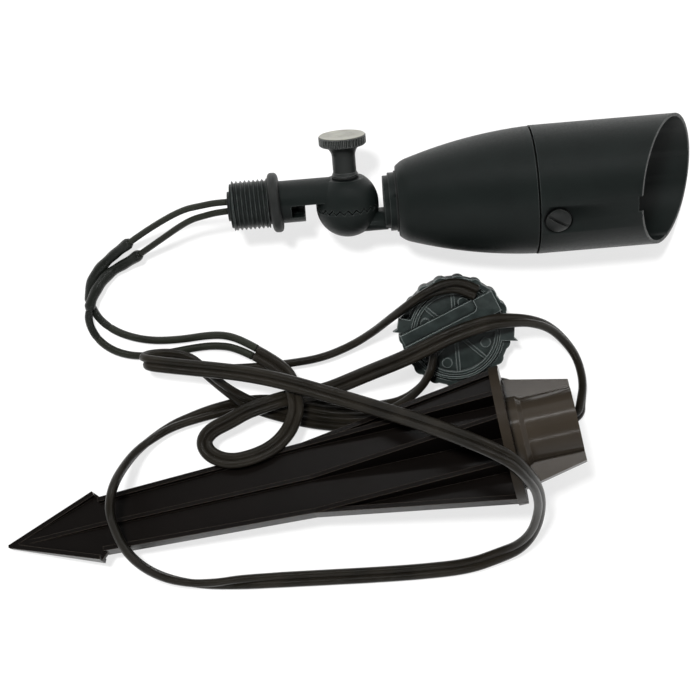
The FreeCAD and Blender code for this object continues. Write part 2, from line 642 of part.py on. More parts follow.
def make_bulb_base():
    back = bulb_back()
    wide, high = BULB_BASE_HALF
    base = block(V(back, -wide, -high), V(back + BULB_BASE_LENGTH, wide, high))
    edges = [e for e in base.Edges if abs(e.BoundBox.XLength - BULB_BASE_LENGTH) < 1e-3]
    return base.makeFillet(BULB_BASE_ROUND, edges)


def make_bulb_pins():
    return Part.makeCompound([rod(PIN_R, p - V(PIN_LENGTH, 0, 0), p) for p in pin_spots()])


def make_bulb_reflector():
    front, back = bulb_front(), bulb_back() + BULB_BASE_LENGTH
    rim = front - BULB_RIM
    mid = (back + rim) / 2
    bow = (BULB_NECK_R + BULB_R) / 2 + BULB_BOW
    shoulder = BULB_R - BULB_SHOULDER
    outer = turned([V(back, 0, 0), V(back, BULB_NECK_R, 0), (V(mid, bow, 0), V(rim, shoulder, 0)),
                    V(rim, BULB_R, 0), V(front, BULB_R, 0), V(front, 0, 0)])
    seat = front - COVER_THICKNESS
    floor = back + BULB_FLOOR
    lip = BULB_R - COVER_LIP
    inner = turned([V(floor, 0, 0), V(floor, BULB_NECK_R - BULB_GLASS, 0),
                    (V(mid, bow - BULB_GLASS, 0), V(rim, shoulder - BULB_GLASS, 0)),
                    V(seat, shoulder - BULB_GLASS, 0), V(seat, lip, 0),
                    V(front + 1, lip, 0), V(front + 1, 0, 0)])
    return outer.cut(inner)


def make_bulb_cover():
    front = bulb_front()
    return rod(BULB_R - COVER_LIP - SEAT, V(front - COVER_THICKNESS, 0, 0), V(front, 0, 0))


def make_bulb_capsule():
    back = bulb_back() + BULB_BASE_LENGTH + BULB_FLOOR
    tip = back + CAPSULE_LENGTH
    lean = CAPSULE_R * math.sqrt(0.5)
    return turned([V(back, 0, 0), V(back, CAPSULE_R, 0), V(tip - CAPSULE_R, CAPSULE_R, 0),
                   (V(tip - CAPSULE_R + lean, lean, 0), V(tip, 0, 0))])


# ================================================================ thumb screw
def screw_seat_top():
    return SCREW_SEAT + FACE


def make_thumb_washer():
    return ring(WASHER_R, SCREW_R + RUN, V(KNUCKLE_AT, screw_seat_top(), 0), WASHER_THICKNESS, V(0, 1, 0))


def make_thumb_screw():
    foot = screw_seat_top() + WASHER_THICKNESS + FACE
    straight = foot + STEM_FOOT
    flare = straight + STEM_STRAIGHT
    under = flare + STEM_FLARE
    top = under + KNOB_THICKNESS
    flare_mid = V(STEM_R + (STEM_FLARE_R - STEM_R) * 0.3, flare + STEM_FLARE * 0.6, 0)
    edge = KNOB_CHAMFER
    profile = [V(0, foot, 0), V(STEM_FOOT_R, foot, 0), V(STEM_FOOT_R, foot + edge, 0), V(STEM_R, straight, 0),
               V(STEM_R, flare, 0), (flare_mid, V(STEM_FLARE_R, under, 0)), V(KNOB_R - edge, under, 0),
               V(KNOB_R, under + edge, 0), V(KNOB_R, top - edge, 0), V(KNOB_R - edge, top, 0), V(0, top, 0)]
    knob = turned(profile, V(0, 1, 0))
    shank_end = -INSERT_TOP - INSERT_LENGTH + 1.0
    shank = rod(SCREW_R, V(0, shank_end, 0), V(0, foot + 1, 0))
    knob = knob.fuse(shank).removeSplitter()
    half = math.pi * KNOB_R / KNURLS * KNURL_SHARE
    outer = KNOB_R + KNURL_DEPTH / 2
    start = under - edge / 5
    corners = [V(outer, start, -half), V(KNOB_R - KNURL_DEPTH, start, 0), V(outer, start, half)]
    groove = Part.Face(Part.makePolygon(corners + corners[:1])).extrude(V(0, KNOB_THICKNESS - edge, 0))
    knob = knob.cut(around(groove, KNURLS, V(0, 0, 0), V(0, 1, 0)))
    knob.translate(V(KNUCKLE_AT, 0, 0))
    return knob


# ================================================================ shroud and lens
def shroud_start():
    return body_end() + SEAM


def shroud_rolled(shape, turn):
    """Turned about the lamp's axis, from straight across towards the side away from the thumb screw."""
    copy = shape.copy()
    copy.rotate(V(0, 0, 0), V(1, 0, 0), turn)
    return copy


def make_glare_shroud():
    start = shroud_start()
    ledge = body_end() + LEDGE_AT
    ahead = ledge + LEDGE_WIDTH
    far = start + SHROUD_LONG + 2
    thin_r = SHROUD_R - SHROUD_THIN
    tube = turned([V(start, SHROUD_BORE_R, 0), V(start, SHROUD_R, 0), V(far, SHROUD_R, 0),
                   V(far, thin_r, 0), V(ahead, thin_r, 0), V(ahead, LEDGE_R, 0),
                   V(ledge, LEDGE_R, 0), V(ledge, SHROUD_BORE_R, 0)])
    short, long = start + SHROUD_SHORT, start + SHROUD_LONG
    wide = SHROUD_R * 1.2
    slope = (long - short) / (2 * SHROUD_R)
    middle = (short + long) / 2
    beyond = far + slope * wide
    corners = [V(middle - slope * wide, -wide, wide), V(beyond, -wide, wide),
               V(beyond, -wide, -wide), V(middle + slope * wide, -wide, -wide)]
    cutter = Part.Face(Part.makePolygon(corners + corners[:1])).extrude(V(0, 2 * wide, 0))
    drain = block(V(short - DRAIN_DEPTH, -DRAIN_WIDTH / 2, LEDGE_R), V(beyond, DRAIN_WIDTH / 2, wide))
    shroud = tube.cut([shroud_rolled(cutter, SHROUD_TURN), shroud_rolled(drain, SHROUD_TURN)])
    at = start + SHROUD_SCREW_AT
    well = rod(SCREW_WELL_R, V(at, 0, SCREW_WELL_FLOOR), V(at, 0, wide))
    hole = rod(SHROUD_SCREW_R + RUN, V(at, 0, LEDGE_R), V(at, 0, wide))
    return shroud.cut([shroud_rolled(well, SHROUD_SCREW_TURN), shroud_rolled(hole, SHROUD_SCREW_TURN)])


def make_shroud_screw():
    at = shroud_start() + SHROUD_SCREW_AT
    floor = SCREW_WELL_FLOOR + FACE
    top = floor + SHROUD_SCREW_HEAD
    r, (crown_r, edge, crown) = SHROUD_SCREW_HEAD_R, SHROUD_SCREW_CROWN
    head = turned([V(0, 0, floor), V(r, 0, floor), V(r, 0, floor + SHROUD_SCREW_HEAD * edge),
                   (V(r * crown_r, 0, floor + SHROUD_SCREW_HEAD * crown), V(0, 0, top))], V(0, 0, 1))
    shank = rod(SHROUD_SCREW_R, V(0, 0, FRONT_SPIGOT_R + FACE), V(0, 0, floor))
    slot = block(V(-r - 1, -SLOT_WIDTH / 2, top - SLOT_DEPTH), V(r + 1, SLOT_WIDTH / 2, top + 1))
    slot.rotate(V(0, 0, 0), V(0, 0, 1), -SLOT_TURN)
    screw = head.fuse(shank).removeSplitter().cut(slot)
    screw.translate(V(at, 0, 0))
    return shroud_rolled(screw, SHROUD_SCREW_TURN)


def lens_seat():
    return body_end() + LEDGE_AT + LEDGE_WIDTH + FACE


def make_lens_gasket():
    return ring(LENS_R, LEDGE_R - LENS_GASKET_IN, V(lens_seat(), 0, 0), LENS_GASKET)


def make_lens_glass():
    start = lens_seat() + LENS_GASKET
    return rod(LENS_R, V(start, 0, 0), V(start + LENS_THICKNESS, 0, 0))


def make_lens_clip():
    start = lens_seat() + LENS_GASKET + LENS_THICKNESS
    return ring(SHROUD_R - SHROUD_THIN - 2 * FACE, LENS_R - CLIP_WIRE, V(start, 0, 0), CLIP_WIRE)


# ================================================================ ground stake
def plate_of(points, thickness):
    """A flat plate in the stake's own plane, centred on it."""
    corners = [V(s, t, -thickness / 2) for s, t in points]
    return Part.Face(Part.makePolygon(corners + [corners[0]])).extrude(V(0, 0, thickness))


def flange_along(start, end, rise_start, rise_end, side):
    """A flange square to the web along one edge, its half height changing along it."""
    a = V(start[0], side * start[1], 0)
    b = V(end[0], side * end[1], 0)
    along = (b - a).normalize()
    inward = V(-along.y, along.x, 0) * (-side * FLANGE)
    up_a, up_b = V(0, 0, rise_start), V(0, 0, rise_end)
    return Part.Face(Part.makePolygon([a + up_a, b + up_b, b - up_b, a - up_a, a + up_a])).extrude(inward)


def make_ground_stake():
    """The blade: a web with a flange along each edge, a middle rib, two barbs and the disc to push on."""
    wing_at = DISC_AT + WING_OVERLAP
    point, barb, blade = (0.0, POINT_HALF), (BARB_AT, BARB_HALF), (BLADE_AT, BLADE_HALF)
    fork, wing, inner = (FORK_AT, FORK_HALF), (wing_at, DISC_R - RIM_MARGIN), (wing_at, FORK_HALF)
    half = [point, barb, (BARB_AT + BARB_BACK, NECK_HALF), blade, fork, wing]
    web = plate_of(half + [(s, -t) for s, t in reversed(half)], WEB)
    neck = (BLADE_AT - NECK_FLANGE, BLADE_HALF - POINT_HALF / 2)
    tip = (POINT_HALF, 1.5 * POINT_HALF)
    parts = []
    for side in (1, -1):
        parts.append(flange_along(tip, barb, tip[1], FLANGE_RISE, side))
        parts.append(flange_along(neck, fork, FLANGE_RISE, FLANGE_RISE, side))
        parts.append(flange_along((FORK_AT - 1, FORK_HALF), wing, FLANGE_RISE, FLANGE_RISE, side))
        parts.append(flange_along(fork, inner, FLANGE_RISE, FLANGE_TOP, side))
    rib_points = [V(RIB_TIP[0], 0, RIB_TIP[1]), V(BARB_AT, 0, RIB_RISE),
                  V(FORK_AT, 0, RIB_RISE + RIB_GROWTH), V(wing_at, 0, DISC_R - WING_OVERLAP)]
    rib_points += [V(p.x, 0, -p.z) for p in reversed(rib_points)]
    rib = Part.Face(Part.makePolygon(rib_points + rib_points[:1])).extrude(V(0, RIB_THICKNESS, 0))
    rib.translate(V(0, -RIB_THICKNESS / 2, 0))
    disc = rod(DISC_R, V(DISC_AT, 0, 0), V(DISC_AT + DISC_THICKNESS, 0, 0))
    return web.fuse(parts + [rib, disc]).removeSplitter()


def make_stake_head():
    """The threaded socket ahead of the disc, with its collar and the two gussets beside it."""
    face = DISC_AT + DISC_THICKNESS
    collar_end = face + SOCKET_COLLAR
    collar = turned([V(face, 0, 0), V(face, SOCKET_COLLAR_R, 0),
                     V(collar_end - COLLAR_SLOPE, SOCKET_COLLAR_R, 0), V(collar_end, STAKE_SOCKET_R, 0),
                     V(STAKE_LENGTH, STAKE_SOCKET_R, 0), V(STAKE_LENGTH, 0, 0)])
    gussets = plate_of([(face, GUSSET_FOOT), (STAKE_LENGTH, GUSSET_LIP),
                        (STAKE_LENGTH, -GUSSET_LIP), (face, -GUSSET_FOOT)], GUSSET)
    bore = rod(STAKE_BORE_R, V(STAKE_LENGTH - STAKE_BORE_DEPTH, 0, 0), V(STAKE_LENGTH + 1, 0, 0))
    return collar.fuse(gussets).removeSplitter().cut(bore)


# ================================================================ connector
def make_connector_base():
    cup = Part.makeCylinder(CUP_R, CUP_HEIGHT)
    boss = Part.makeCylinder(CUP_BOSS_R, CUP_BOSS, V(0, 0, -CUP_BOSS))
    hollow = Part.makeCylinder(CUP_R - CUP_WALL, CUP_HEIGHT, V(0, 0, CUP_WALL))
    return cup.cut(hollow).fuse(boss).removeSplitter()


def make_connector_ring():
    floor = V(0, 0, GRIP_AT)
    body = Part.makeCylinder(GRIP_R, GRIP_HEIGHT, floor)
    lobe = Part.makeCylinder(LOBE_R, GRIP_HEIGHT, V(GRIP_R + LOBE_OUT - LOBE_R, 0, GRIP_AT))
    body = body.fuse(around(lobe, LOBES, V(0, 0, 0), V(0, 0, 1))).removeSplitter()
    return body.cut(Part.makeCylinder(GRIP_BORE_R, GRIP_HEIGHT, floor))


def polar(radius, turn, height=0.0):
    angle = math.radians(turn)
    return V(radius * math.cos(angle), radius * math.sin(angle), height)


def make_connector_face():
    floor = V(0, 0, CUP_HEIGHT)
    top = CUP_HEIGHT + FACE_THICKNESS
    height = FACE_THICKNESS + RIM_RISE
    up = V(0, 0, 1)
    pieces = [ring(FACE_R, OUTER_BEAD_R, floor, height, up),
              ring(INNER_BEAD[1], INNER_BEAD[0], floor, height, up)]
    spoke = block(V(SPOKE_HUB_R, -SPOKE_WIDTH / 2, CUP_HEIGHT),
                  V(INNER_BEAD[1], SPOKE_WIDTH / 2, top + SPOKE_RISE))
    spoke.rotate(V(0, 0, 0), up, SPOKE_START)
    pieces += around(spoke, SPOKES, V(0, 0, 0), up)
    pieces += [Part.makeCylinder(STUD_R, FACE_THICKNESS + SPOKE_RISE, polar(STUD_RING_R, turn, CUP_HEIGHT))
               for turn in STUD_TURNS]
    for side, turn in zip((-1, 1), EAR_TURNS):
        foot = V(EAR_FOOT_R, side * -EAR_HALF, CUP_HEIGHT)
        points = [V(EAR_START_R, side * -EAR_HALF, CUP_HEIGHT), foot,
                  V(EAR_REACH_R, side * (EAR_FOOT - EAR_HALF), CUP_HEIGHT),
                  V(EAR_REACH_R, side * EAR_HALF, CUP_HEIGHT), V(EAR_START_R, side * EAR_HALF, CUP_HEIGHT)]
        ear = shaped(points).extrude(V(0, 0, height))
        ear.rotate(V(0, 0, 0), up, turn)
        pieces.append(ear)
    return Part.makeCylinder(FACE_R, FACE_THICKNESS, floor).fuse(pieces).removeSplitter()


def bar_floor():
    return CUP_HEIGHT + FACE_THICKNESS + RIM_RISE + SEAT


def make_connector_bar():
    low = V(-BAR_LENGTH / 2, BAR_OFFSET - BAR_WIDTH / 2, bar_floor())
    return block(low, low + V(BAR_LENGTH, BAR_WIDTH, BAR_HEIGHT))


def make_connector_latch():
    """An L-shaped cover: a block over the bar's right end and a strip along its lower side."""
    floor = bar_floor() + BAR_HEIGHT + SEAT
    left, right = -BAR_LENGTH / 2, BAR_LENGTH / 2
    low, high = BAR_OFFSET - BAR_WIDTH / 2, BAR_OFFSET + BAR_WIDTH / 2
    strip_top, step_at, r = low + LATCH_STRIP, right - LATCH_BLOCK, LATCH_STEP
    lean = r * math.sqrt(0.5)
    points = [V(left, low, floor), V(right, low, floor), V(right, high, floor), V(step_at, high, floor),
              V(step_at, strip_top + r, floor),
              (V(step_at - r + lean, strip_top + r - lean, floor), V(step_at - r, strip_top, floor)),
              V(left, strip_top, floor)]
    return shaped(points).extrude(V(0, 0, LATCH_RISE))


# ================================================================ cords
def corner_arc(before, corner, after):
    """The arc that rounds one corner of a route, with its two ends and its radius."""
    back, on = before - corner, after - corner
    reach = CORNER_SHARE * min(back.Length, on.Length)
    back.normalize()
    on.normalize()
    start, end = corner + back * reach, corner + on * reach
    half_turn = (math.pi - back.getAngle(on)) / 2
    radius = reach / math.tan(half_turn)
    centre = corner + (back + on).normalize() * (radius / math.cos(half_turn))
    through = centre + (corner - centre).normalize() * radius
    return Part.Arc(start, through, end).toShape(), start, end, radius


def route_edges(name, route):
    """Straight runs joined by tangent arcs: edge 2n is run n, and edge 2n + 1 the arc after it."""
    points = [V(*p) for p in route]
    edges, radii = [], []
    here = points[0]
    for before, corner, after in zip(points, points[1:], points[2:]):
        arc, start, end, radius = corner_arc(before, corner, after)
        edges += [Part.LineSegment(here, start).toShape(), arc]
        radii.append(radius)
        here = end
    edges.append(Part.LineSegment(here, points[-1]).toShape())
    length = sum(edge.Length for edge in edges)
    print("%-16s length %.1f, smallest radii %s" % (name, length, ["%.1f" % r for r in sorted(radii)[:5]]))
    return edges


def tube(edges, radius):
    """A round tube along edges that meet tangentially, as one solid."""
    parts = []
    for edge in edges:
        start = edge.valueAt(edge.FirstParameter)
        along = edge.tangentAt(edge.FirstParameter)
        section = Part.Face(Part.Wire(Part.makeCircle(radius, start, along)))
        if isinstance(edge.Curve, Part.Line):
            parts.append(section.extrude(along * edge.Length))
        else:
            turn = math.degrees(edge.Length / edge.Curve.Radius)
            parts.append(section.revolve(edge.Curve.Center, edge.Curve.Axis, turn))
    whole = parts[0].fuse(parts[1:])
    length = sum(edge.Length for edge in edges)
    expected = math.pi * radius ** 2 * length
    print("  tube r %.2f: volume %.1f, section x length %.1f" % (radius, whole.Volume, expected))
    return whole


def sleeve(edges, outer, inner):
    return tube(edges, outer).cut(tube(edges, inner))


def make_fixture_lead(name, route):
    """One fixture lead, its splice sleeve, its end sleeve and the core of the two-core lead it joins."""
    edges = route_edges(name, route)
    splice = edges[SPLICE_RUNS[0]:SPLICE_RUNS[1]]
    end = edges[END_SLEEVE_RUNS[0]:END_SLEEVE_RUNS[1]]
    lead = tube(edges[:END_SLEEVE_RUNS[1]], FIXTURE_LEAD_R)
    core = tube(edges[END_SLEEVE_RUNS[1]:], CONDUCTOR_R)
    inner = FIXTURE_LEAD_R + SEAT
    return lead, sleeve(splice, SLEEVE_R, inner), sleeve(end, END_SLEEVE_R, inner), core


NODES = {}


def keep(name, shape, place):
    copy = shape.copy()
    copy.Placement = place.multiply(copy.Placement)
    NODES[name] = copy


LAMP = lamp_place()
keep("knuckle_arm", make_knuckle_arm(), LAMP)
keep("nipple_o_ring", make_nipple_o_ring(), LAMP)
keep("wire_grommet", make_wire_grommet(), LAMP)
keep("arm_leads", make_arm_leads(), LAMP)
keep("head_knuckle", make_head_knuckle(), LAMP)
keep("knuckle_insert", make_knuckle_insert(), LAMP)
keep("rear_gasket", make_rear_gasket(), LAMP)
keep("lamp_body", make_lamp_body(), LAMP)
keep("body_seal", make_body_seal(), LAMP)
keep("socket_bracket", make_socket_bracket(), LAMP)
keep("bracket_screws", make_bracket_screws(), LAMP)
keep("lamp_socket", make_lamp_socket(), LAMP)
keep("socket_leads", make_socket_leads(), LAMP)
keep("bulb_base", make_bulb_base(), LAMP)
keep("bulb_pins", make_bulb_pins(), LAMP)
keep("bulb_reflector", make_bulb_reflector(), LAMP)
keep("bulb_cover", make_bulb_cover(), LAMP)
keep("bulb_capsule", make_bulb_capsule(), LAMP)
keep("thumb_washer", make_thumb_washer(), LAMP)
keep("thumb_screw", make_thumb_screw(), LAMP)
keep("glare_shroud", make_glare_shroud(), LAMP)
keep("shroud_screw", make_shroud_screw(), LAMP)
keep("lens_gasket", make_lens_gasket(), LAMP)
keep("lens_glass", make_lens_glass(), LAMP)
keep("lens_clip", make_lens_clip(), LAMP)
keep("ground_stake", make_ground_stake(), stake_place())
keep("stake_head", make_stake_head(), stake_place())
keep("connector_base", make_connector_base(), connector_place())
keep("connector_ring", make_connector_ring(), connector_place())
keep("connector_face", make_connector_face(), connector_place())
keep("connector_bar", make_connector_bar(), connector_place())
keep("connector_latch", make_connector_latch(), connector_place())

for side, route in (("a", FIXTURE_LEAD_A_ROUTE), ("b", FIXTURE_LEAD_B_ROUTE)):
    lead, splice, end, core = make_fixture_lead("fixture_lead_" + side, route)
    NODES["fixture_lead_" + side] = lead
    NODES["splice_sleeve_" + side] = splice
    NODES["end_sleeve_" + side] = end
    NODES["lead_core_" + side] = core
NODES["lead_cord"] = tube(route_edges("lead_cord", LEAD_CORD_ROUTE), CORD_R)
NODES["lead_tail"] = tube(route_edges("lead_tail", LEAD_TAIL_ROUTE), CORD_R)

whole = FreeCAD.BoundBox()
for name, shape in NODES.items():
    shape.exportStep("parts/%s.step" % name)
    box = shape.optimalBoundingBox(True, False)
    whole.add(box)
    print("%-18s solids %d valid %s volume %9.1f lowest %.2f"
          % (name, len(shape.Solids), shape.isValid(), shape.Volume, box.ZMin))
print("overall", whole)
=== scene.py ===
"""Looks of a garden spike spotlight laid out flat: the lamp with its leads, the two-core cord with its
round quick connector, and the loose ground stake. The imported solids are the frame, in metres."""

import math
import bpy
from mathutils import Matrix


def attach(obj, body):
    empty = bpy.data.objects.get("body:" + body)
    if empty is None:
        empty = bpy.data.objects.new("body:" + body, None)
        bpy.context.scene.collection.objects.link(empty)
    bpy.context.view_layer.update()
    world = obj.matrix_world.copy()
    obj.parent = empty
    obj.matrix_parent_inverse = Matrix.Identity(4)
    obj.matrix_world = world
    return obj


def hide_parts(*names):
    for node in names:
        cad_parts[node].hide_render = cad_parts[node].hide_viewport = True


bl_info = {
    "name": "Garden Spike Spotlight Looks",
    "version": (1, 0, 0),
    "blender": (4, 5, 0),
    "location": "View3D > Sidebar > Spotlight",
    "description": "Finishes, cords and small detail for a garden spike spotlight laid out on a table",
    "category": "Object",
}

import bmesh
import bpy
from mathutils import Matrix, Vector

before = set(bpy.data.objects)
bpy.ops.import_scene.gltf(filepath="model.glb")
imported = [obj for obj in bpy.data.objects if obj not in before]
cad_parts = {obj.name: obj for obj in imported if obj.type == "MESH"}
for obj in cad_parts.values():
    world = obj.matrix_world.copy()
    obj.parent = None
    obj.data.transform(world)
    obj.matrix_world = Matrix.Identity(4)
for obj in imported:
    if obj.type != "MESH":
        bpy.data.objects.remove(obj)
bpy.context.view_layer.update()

MM = 0.001
ROOT = "set"

# Where the lamp and the stake lie, as in the part's source (mm, degrees).
LAMP_START = (-49.7, 53.0, 27.3)
LAMP_HEADING = 4.84
LAMP_ROLL = 20.0
ARM_OFFSET = 3.8
STAKE_TIP = (-148.5, -90.0, 4.9)
STAKE_HEADING, STAKE_PITCH, STAKE_ROLL = 13.1, 6.45, -22.0
DISC_AT = 220.5                       # from the stake's tip to its disc

# Control points of the cords' lines (mm). The flat cord's fourth number is its lie: 0 is flat, 90 on edge.
LEAD_A_ROUTE = [
    (-51.7, 58.3, 29.3), (-56.5, 58, 29), (-62.5, 57, 27.2), (-71.5, 55.5, 23.2), (-86, 48.5, 14.5),
    (-103, 38, 4.4), (-111.5, 29.5, 1.9), (-114, 22.5, 1.8), (-113.5, 15.5, 1.8), (-109, 8.5, 1.8),
    (-100.5, 3, 1.8), (-88, 0, 1.8), (-74.5, 0.5, 1.8), (-62, 2.5, 1.8), (-54, 2.5, 2.2),
    (-46.5, 0, 4.1), (-40.3, -3.4, 6.1),
]
LEAD_B_ROUTE = [
    (-51.4, 54.6, 27.9), (-56, 54, 27.8), (-60.5, 53, 26.9), (-68.5, 51, 23.8), (-80.5, 44, 14.8),
    (-95.5, 35, 4.8), (-105, 30, 3), (-109.5, 24, 5.7), (-113, 16.5, 6.3), (-114.5, 8.5, 3.4),
    (-110.5, 0.5, 1.8), (-102.5, -5, 1.8), (-92, -7, 1.8), (-80.5, -5.5, 1.8), (-68, -3, 1.8),
    (-59, -2, 2), (-49.5, -3, 4), (-42.2, -6.7, 6.1),
]
CORD_ROUTE = [
    (-40.8, -5.3, 6.2, 0), (-33, -9.5, 9, 10), (-25.5, -15.5, 12.4, 20), (-22.8, -27.7, 16.7, 14),
    (-23.4, -32, 15.4, 4), (-26, -38.8, 15.8, -8), (-32.1, -45.4, 17.5, -18), (-40.7, -49.6, 18.2, -22),
    (-51, -52, 17.4, -20), (-59.8, -49.5, 15, -12), (-63.4, -44.1, 12.8, -4), (-60.1, -38.8, 12.2, 0),
    (-51.5, -34.6, 13, 0), (-45, -30.7, 13.9, 0), (-38.9, -28.4, 13.7, 0), (-30.5, -25.6, 12.4, 0),
    (-22.5, -23.8, 9.5, 0), (-15.5, -22.8, 7.6, 0), (-9.5, -21.3, 7.5, 0), (-2.5, -18.5, 11.4, 0),
    (9.2, -13.4, 20.2, 0), (21.7, -8.3, 27.7, 0), (31.1, -3.7, 29.7, 0), (41.5, 1.5, 30.1, 4),
    (49.6, 4.7, 29.7, 14), (59.8, 7.9, 27.7, 30), (67.7, 8.7, 24.3, 48), (76.7, 8.7, 18.6, 62),
    (86.3, 6.2, 11.9, 72), (94.3, -0.4, 6.1, 78), (99.8, -8, 3.4, 80), (102.2, -18.4, 3.6, 80),
    (101.1, -26.8, 3.8, 70), (100.5, -32.5, 2.6, 40), (91.5, -36, 2.6, 0), (81.5, -28.5, 2.6, 0),
    (70.5, -20, 2.6, 0), (61.5, -19, 2.6, 0), (52, -22, 2.6, 0), (38.5, -27, 2.6, 0),
    (22, -32.5, 2.6, 0), (5.5, -36.5, 2.6, 0), (-11, -36, 2.6, 0), (-26, -33, 4.4, 0),
    (-40, -29, 8.2, 20), (-49.5, -24, 8.2, 50), (-58, -18, 4.4, 60), (-64, -12.5, 4.2, 50),
    (-70, -8.2, 6, 20), (-78, -6.6, 6.5, 0), (-88, -7.4, 6.5, 0),
    (-88.5, -9.4, 16.4, 0), (-76.5, -10.8, 16.6, 0), (-62, -12.2, 16.4, 0), (-45, -14, 17.5, 0),
    (-27.5, -17.4, 21, 0), (-4.1, -24.2, 23.7, 0), (4.8, -26.6, 28.6, 0), (17.2, -30.1, 36.9, 0),
    (28.1, -33.2, 46, 2), (38.9, -36.8, 55.3, 8), (48, -40.1, 62.4, 15), (55.6, -43.1, 66.4, 24),
    (65.6, -48.3, 67.2, 34), (72.6, -55.2, 58.2, 42), (77.3, -61.5, 47.4, 48), (80, -70, 33.3, 50),
    (79.3, -81.5, 17, 45), (74, -89.4, 8.5, 30), (66.5, -93.3, 4.2, 16), (52.2, -98.8, 2.4, 6),
    (30.2, -101.2, 2.2, 2), (9.6, -102.6, 2, 0), (-11.3, -103.7, 2, 0), (-32.2, -104.8, 1.9, 4),
    (-48.8, -105.7, 2.3, 30), (-59.4, -106.4, 3.5, 62), (-69.6, -106, 3.8, 82), (-80.8, -103.1, 7, 90),
    (-90.2, -96.9, 14, 90), (-96.8, -88, 21.1, 90), (-100.4, -76.4, 27.7, 90), (-101.4, -70.4, 28.9, 90),
    (-100.4, -62.8, 27.1, 90), (-98.1, -56.4, 20.4, 90), (-93.5, -49, 10.5, 90), (-87, -43.2, 4.3, 86),
    (-77.6, -37.1, 3.5, 75), (-65.3, -32.5, 3.2, 50), (-54, -29.3, 2.8, 25), (-43.5, -27, 2.6, 0),
    (-31.5, -27, 2.6, 0), (-19.5, -28, 2.6, 0), (-6.5, -30.5, 2.6, 0), (6.5, -30.5, 2.6, 10),
    (16, -29, 3.2, 30), (23, -26.5, 4.6, 60), (28.5, -22.5, 9, 80), (32, -18.5, 14, 90),
    (34.5, -13.5, 17.8, 90), (35.6, -9, 19.2, 90), (35.8, -4.2, 19.8, 90),
]
TAIL_ROUTE = [
    (53.7, 20.3, 23.6, 10), (49, 22.5, 24.8, 25), (43.5, 23.5, 26.2, 40), (37.5, 22, 27.4, 60),
    (31, 19, 27.6, 75), (25, 15, 25.4, 85), (17.5, 9.5, 18.6, 90), (10.5, 4, 9.2, 90), (1, -2, 4, 90),
    (-12, -7.5, 3.7, 90), (-27, -10, 3.7, 90), (-41.5, -11.5, 3.7, 90), (-53, -12, 3.7, 90),
]


# ---------------------------------------------------------------- sizes and colours a user may change
class LampLookSettings(bpy.types.PropertyGroup):
    coat: bpy.props.StringProperty(name="Coat", description="Colour of the powder coat", default="#0d1110")
    coat_worn: bpy.props.StringProperty(
        name="Worn coat", description="Colour of the coat along its edges", default="#4b504e")
    knob: bpy.props.StringProperty(
        name="Thumb screw", description="Colour of the thumb screw's head", default="#181a19")
    thread_pitch: bpy.props.FloatProperty(
        name="Thread pitch", description="Pitch of the nipple's pipe thread", default=1.814 * MM,
        min=0.5 * MM, max=4 * MM, unit="LENGTH")
    thread_depth: bpy.props.FloatProperty(
        name="Thread depth", description="Crest to root of the nipple's thread", default=0.95 * MM,
        min=0.1 * MM, max=2 * MM, unit="LENGTH")


class StakeLookSettings(bpy.types.PropertyGroup):
    plastic: bpy.props.StringProperty(
        name="Plastic", description="Colour of the stake's plastic", default="#0a0807")
    head: bpy.props.StringProperty(
        name="Head", description="Colour of the stake's disc and socket", default="#2a251f")


class ConnectorLookSettings(bpy.types.PropertyGroup):
    plastic: bpy.props.StringProperty(
        name="Plastic", description="Colour of the connector's plastic", default="#1d2221")


class CordLookSettings(bpy.types.PropertyGroup):
    jacket: bpy.props.StringProperty(name="Cord", description="Colour of the flat cord", default="#110f0b")
    lead: bpy.props.StringProperty(
        name="Leads", description="Colour of the fixture leads", default="#171813")
    width: bpy.props.FloatProperty(
        name="Cord width", description="Across both cores of the flat cord", default=7.0 * MM,
        min=4 * MM, max=12 * MM, unit="LENGTH")
    height: bpy.props.FloatProperty(
        name="Cord height", description="Thickness of the flat cord", default=3.6 * MM,
        min=2 * MM, max=6 * MM, unit="LENGTH")
    groove: bpy.props.FloatProperty(
        name="Groove", description="Half thickness of the web between the two cores", default=0.85 * MM,
        min=0.3 * MM, max=2 * MM, unit="LENGTH")


class StageSettings(bpy.types.PropertyGroup):
    floor: bpy.props.StringProperty(name="Floor", description="Colour of the floor", default="#f4f4f3")
    paleness: bpy.props.FloatProperty(
        name="Pale shadows", description="How far the shadows on the floor are lightened", default=0.72,
        min=0, max=1)
    lens: bpy.props.FloatProperty(
        name="Lens", description="Focal length of the camera, in mm", default=81.92, min=20, max=200)


SETTINGS = {
    "lamp_look": LampLookSettings,
    "stake_look": StakeLookSettings,
    "connector_look": ConnectorLookSettings,
    "cord_look": CordLookSettings,
    "stage_look": StageSettings,
}


# ---------------------------------------------------------------- small helpers
def linear(hex_colour, times=1.0):
    """An sRGB hex colour as linear RGBA, made darker or lighter."""
    parts = [int(hex_colour.lstrip("#")[i:i + 2], 16) / 255 for i in (0, 2, 4)]
    plain = [c / 12.92 if c <= 0.04045 else ((c + 0.055) / 1.055) ** 2.4 for c in parts]
    return tuple(min(1.0, c * times) for c in plain) + (1.0,)


def grey(level):
    return (level, level, level, 1.0)


def add(tree, kind, inputs=None, **settings):
    """Adds a node with its settings, and fills its inputs with values or with other nodes' outputs."""
    node = tree.nodes.new(kind)
    for key, value in settings.items():
        setattr(node, key, value)
    for key, value in (inputs or {}).items():
        if isinstance(value, bpy.types.NodeSocket):
            tree.links.new(value, node.inputs[key])
        else:
            node.inputs[key].default_value = value
    return node


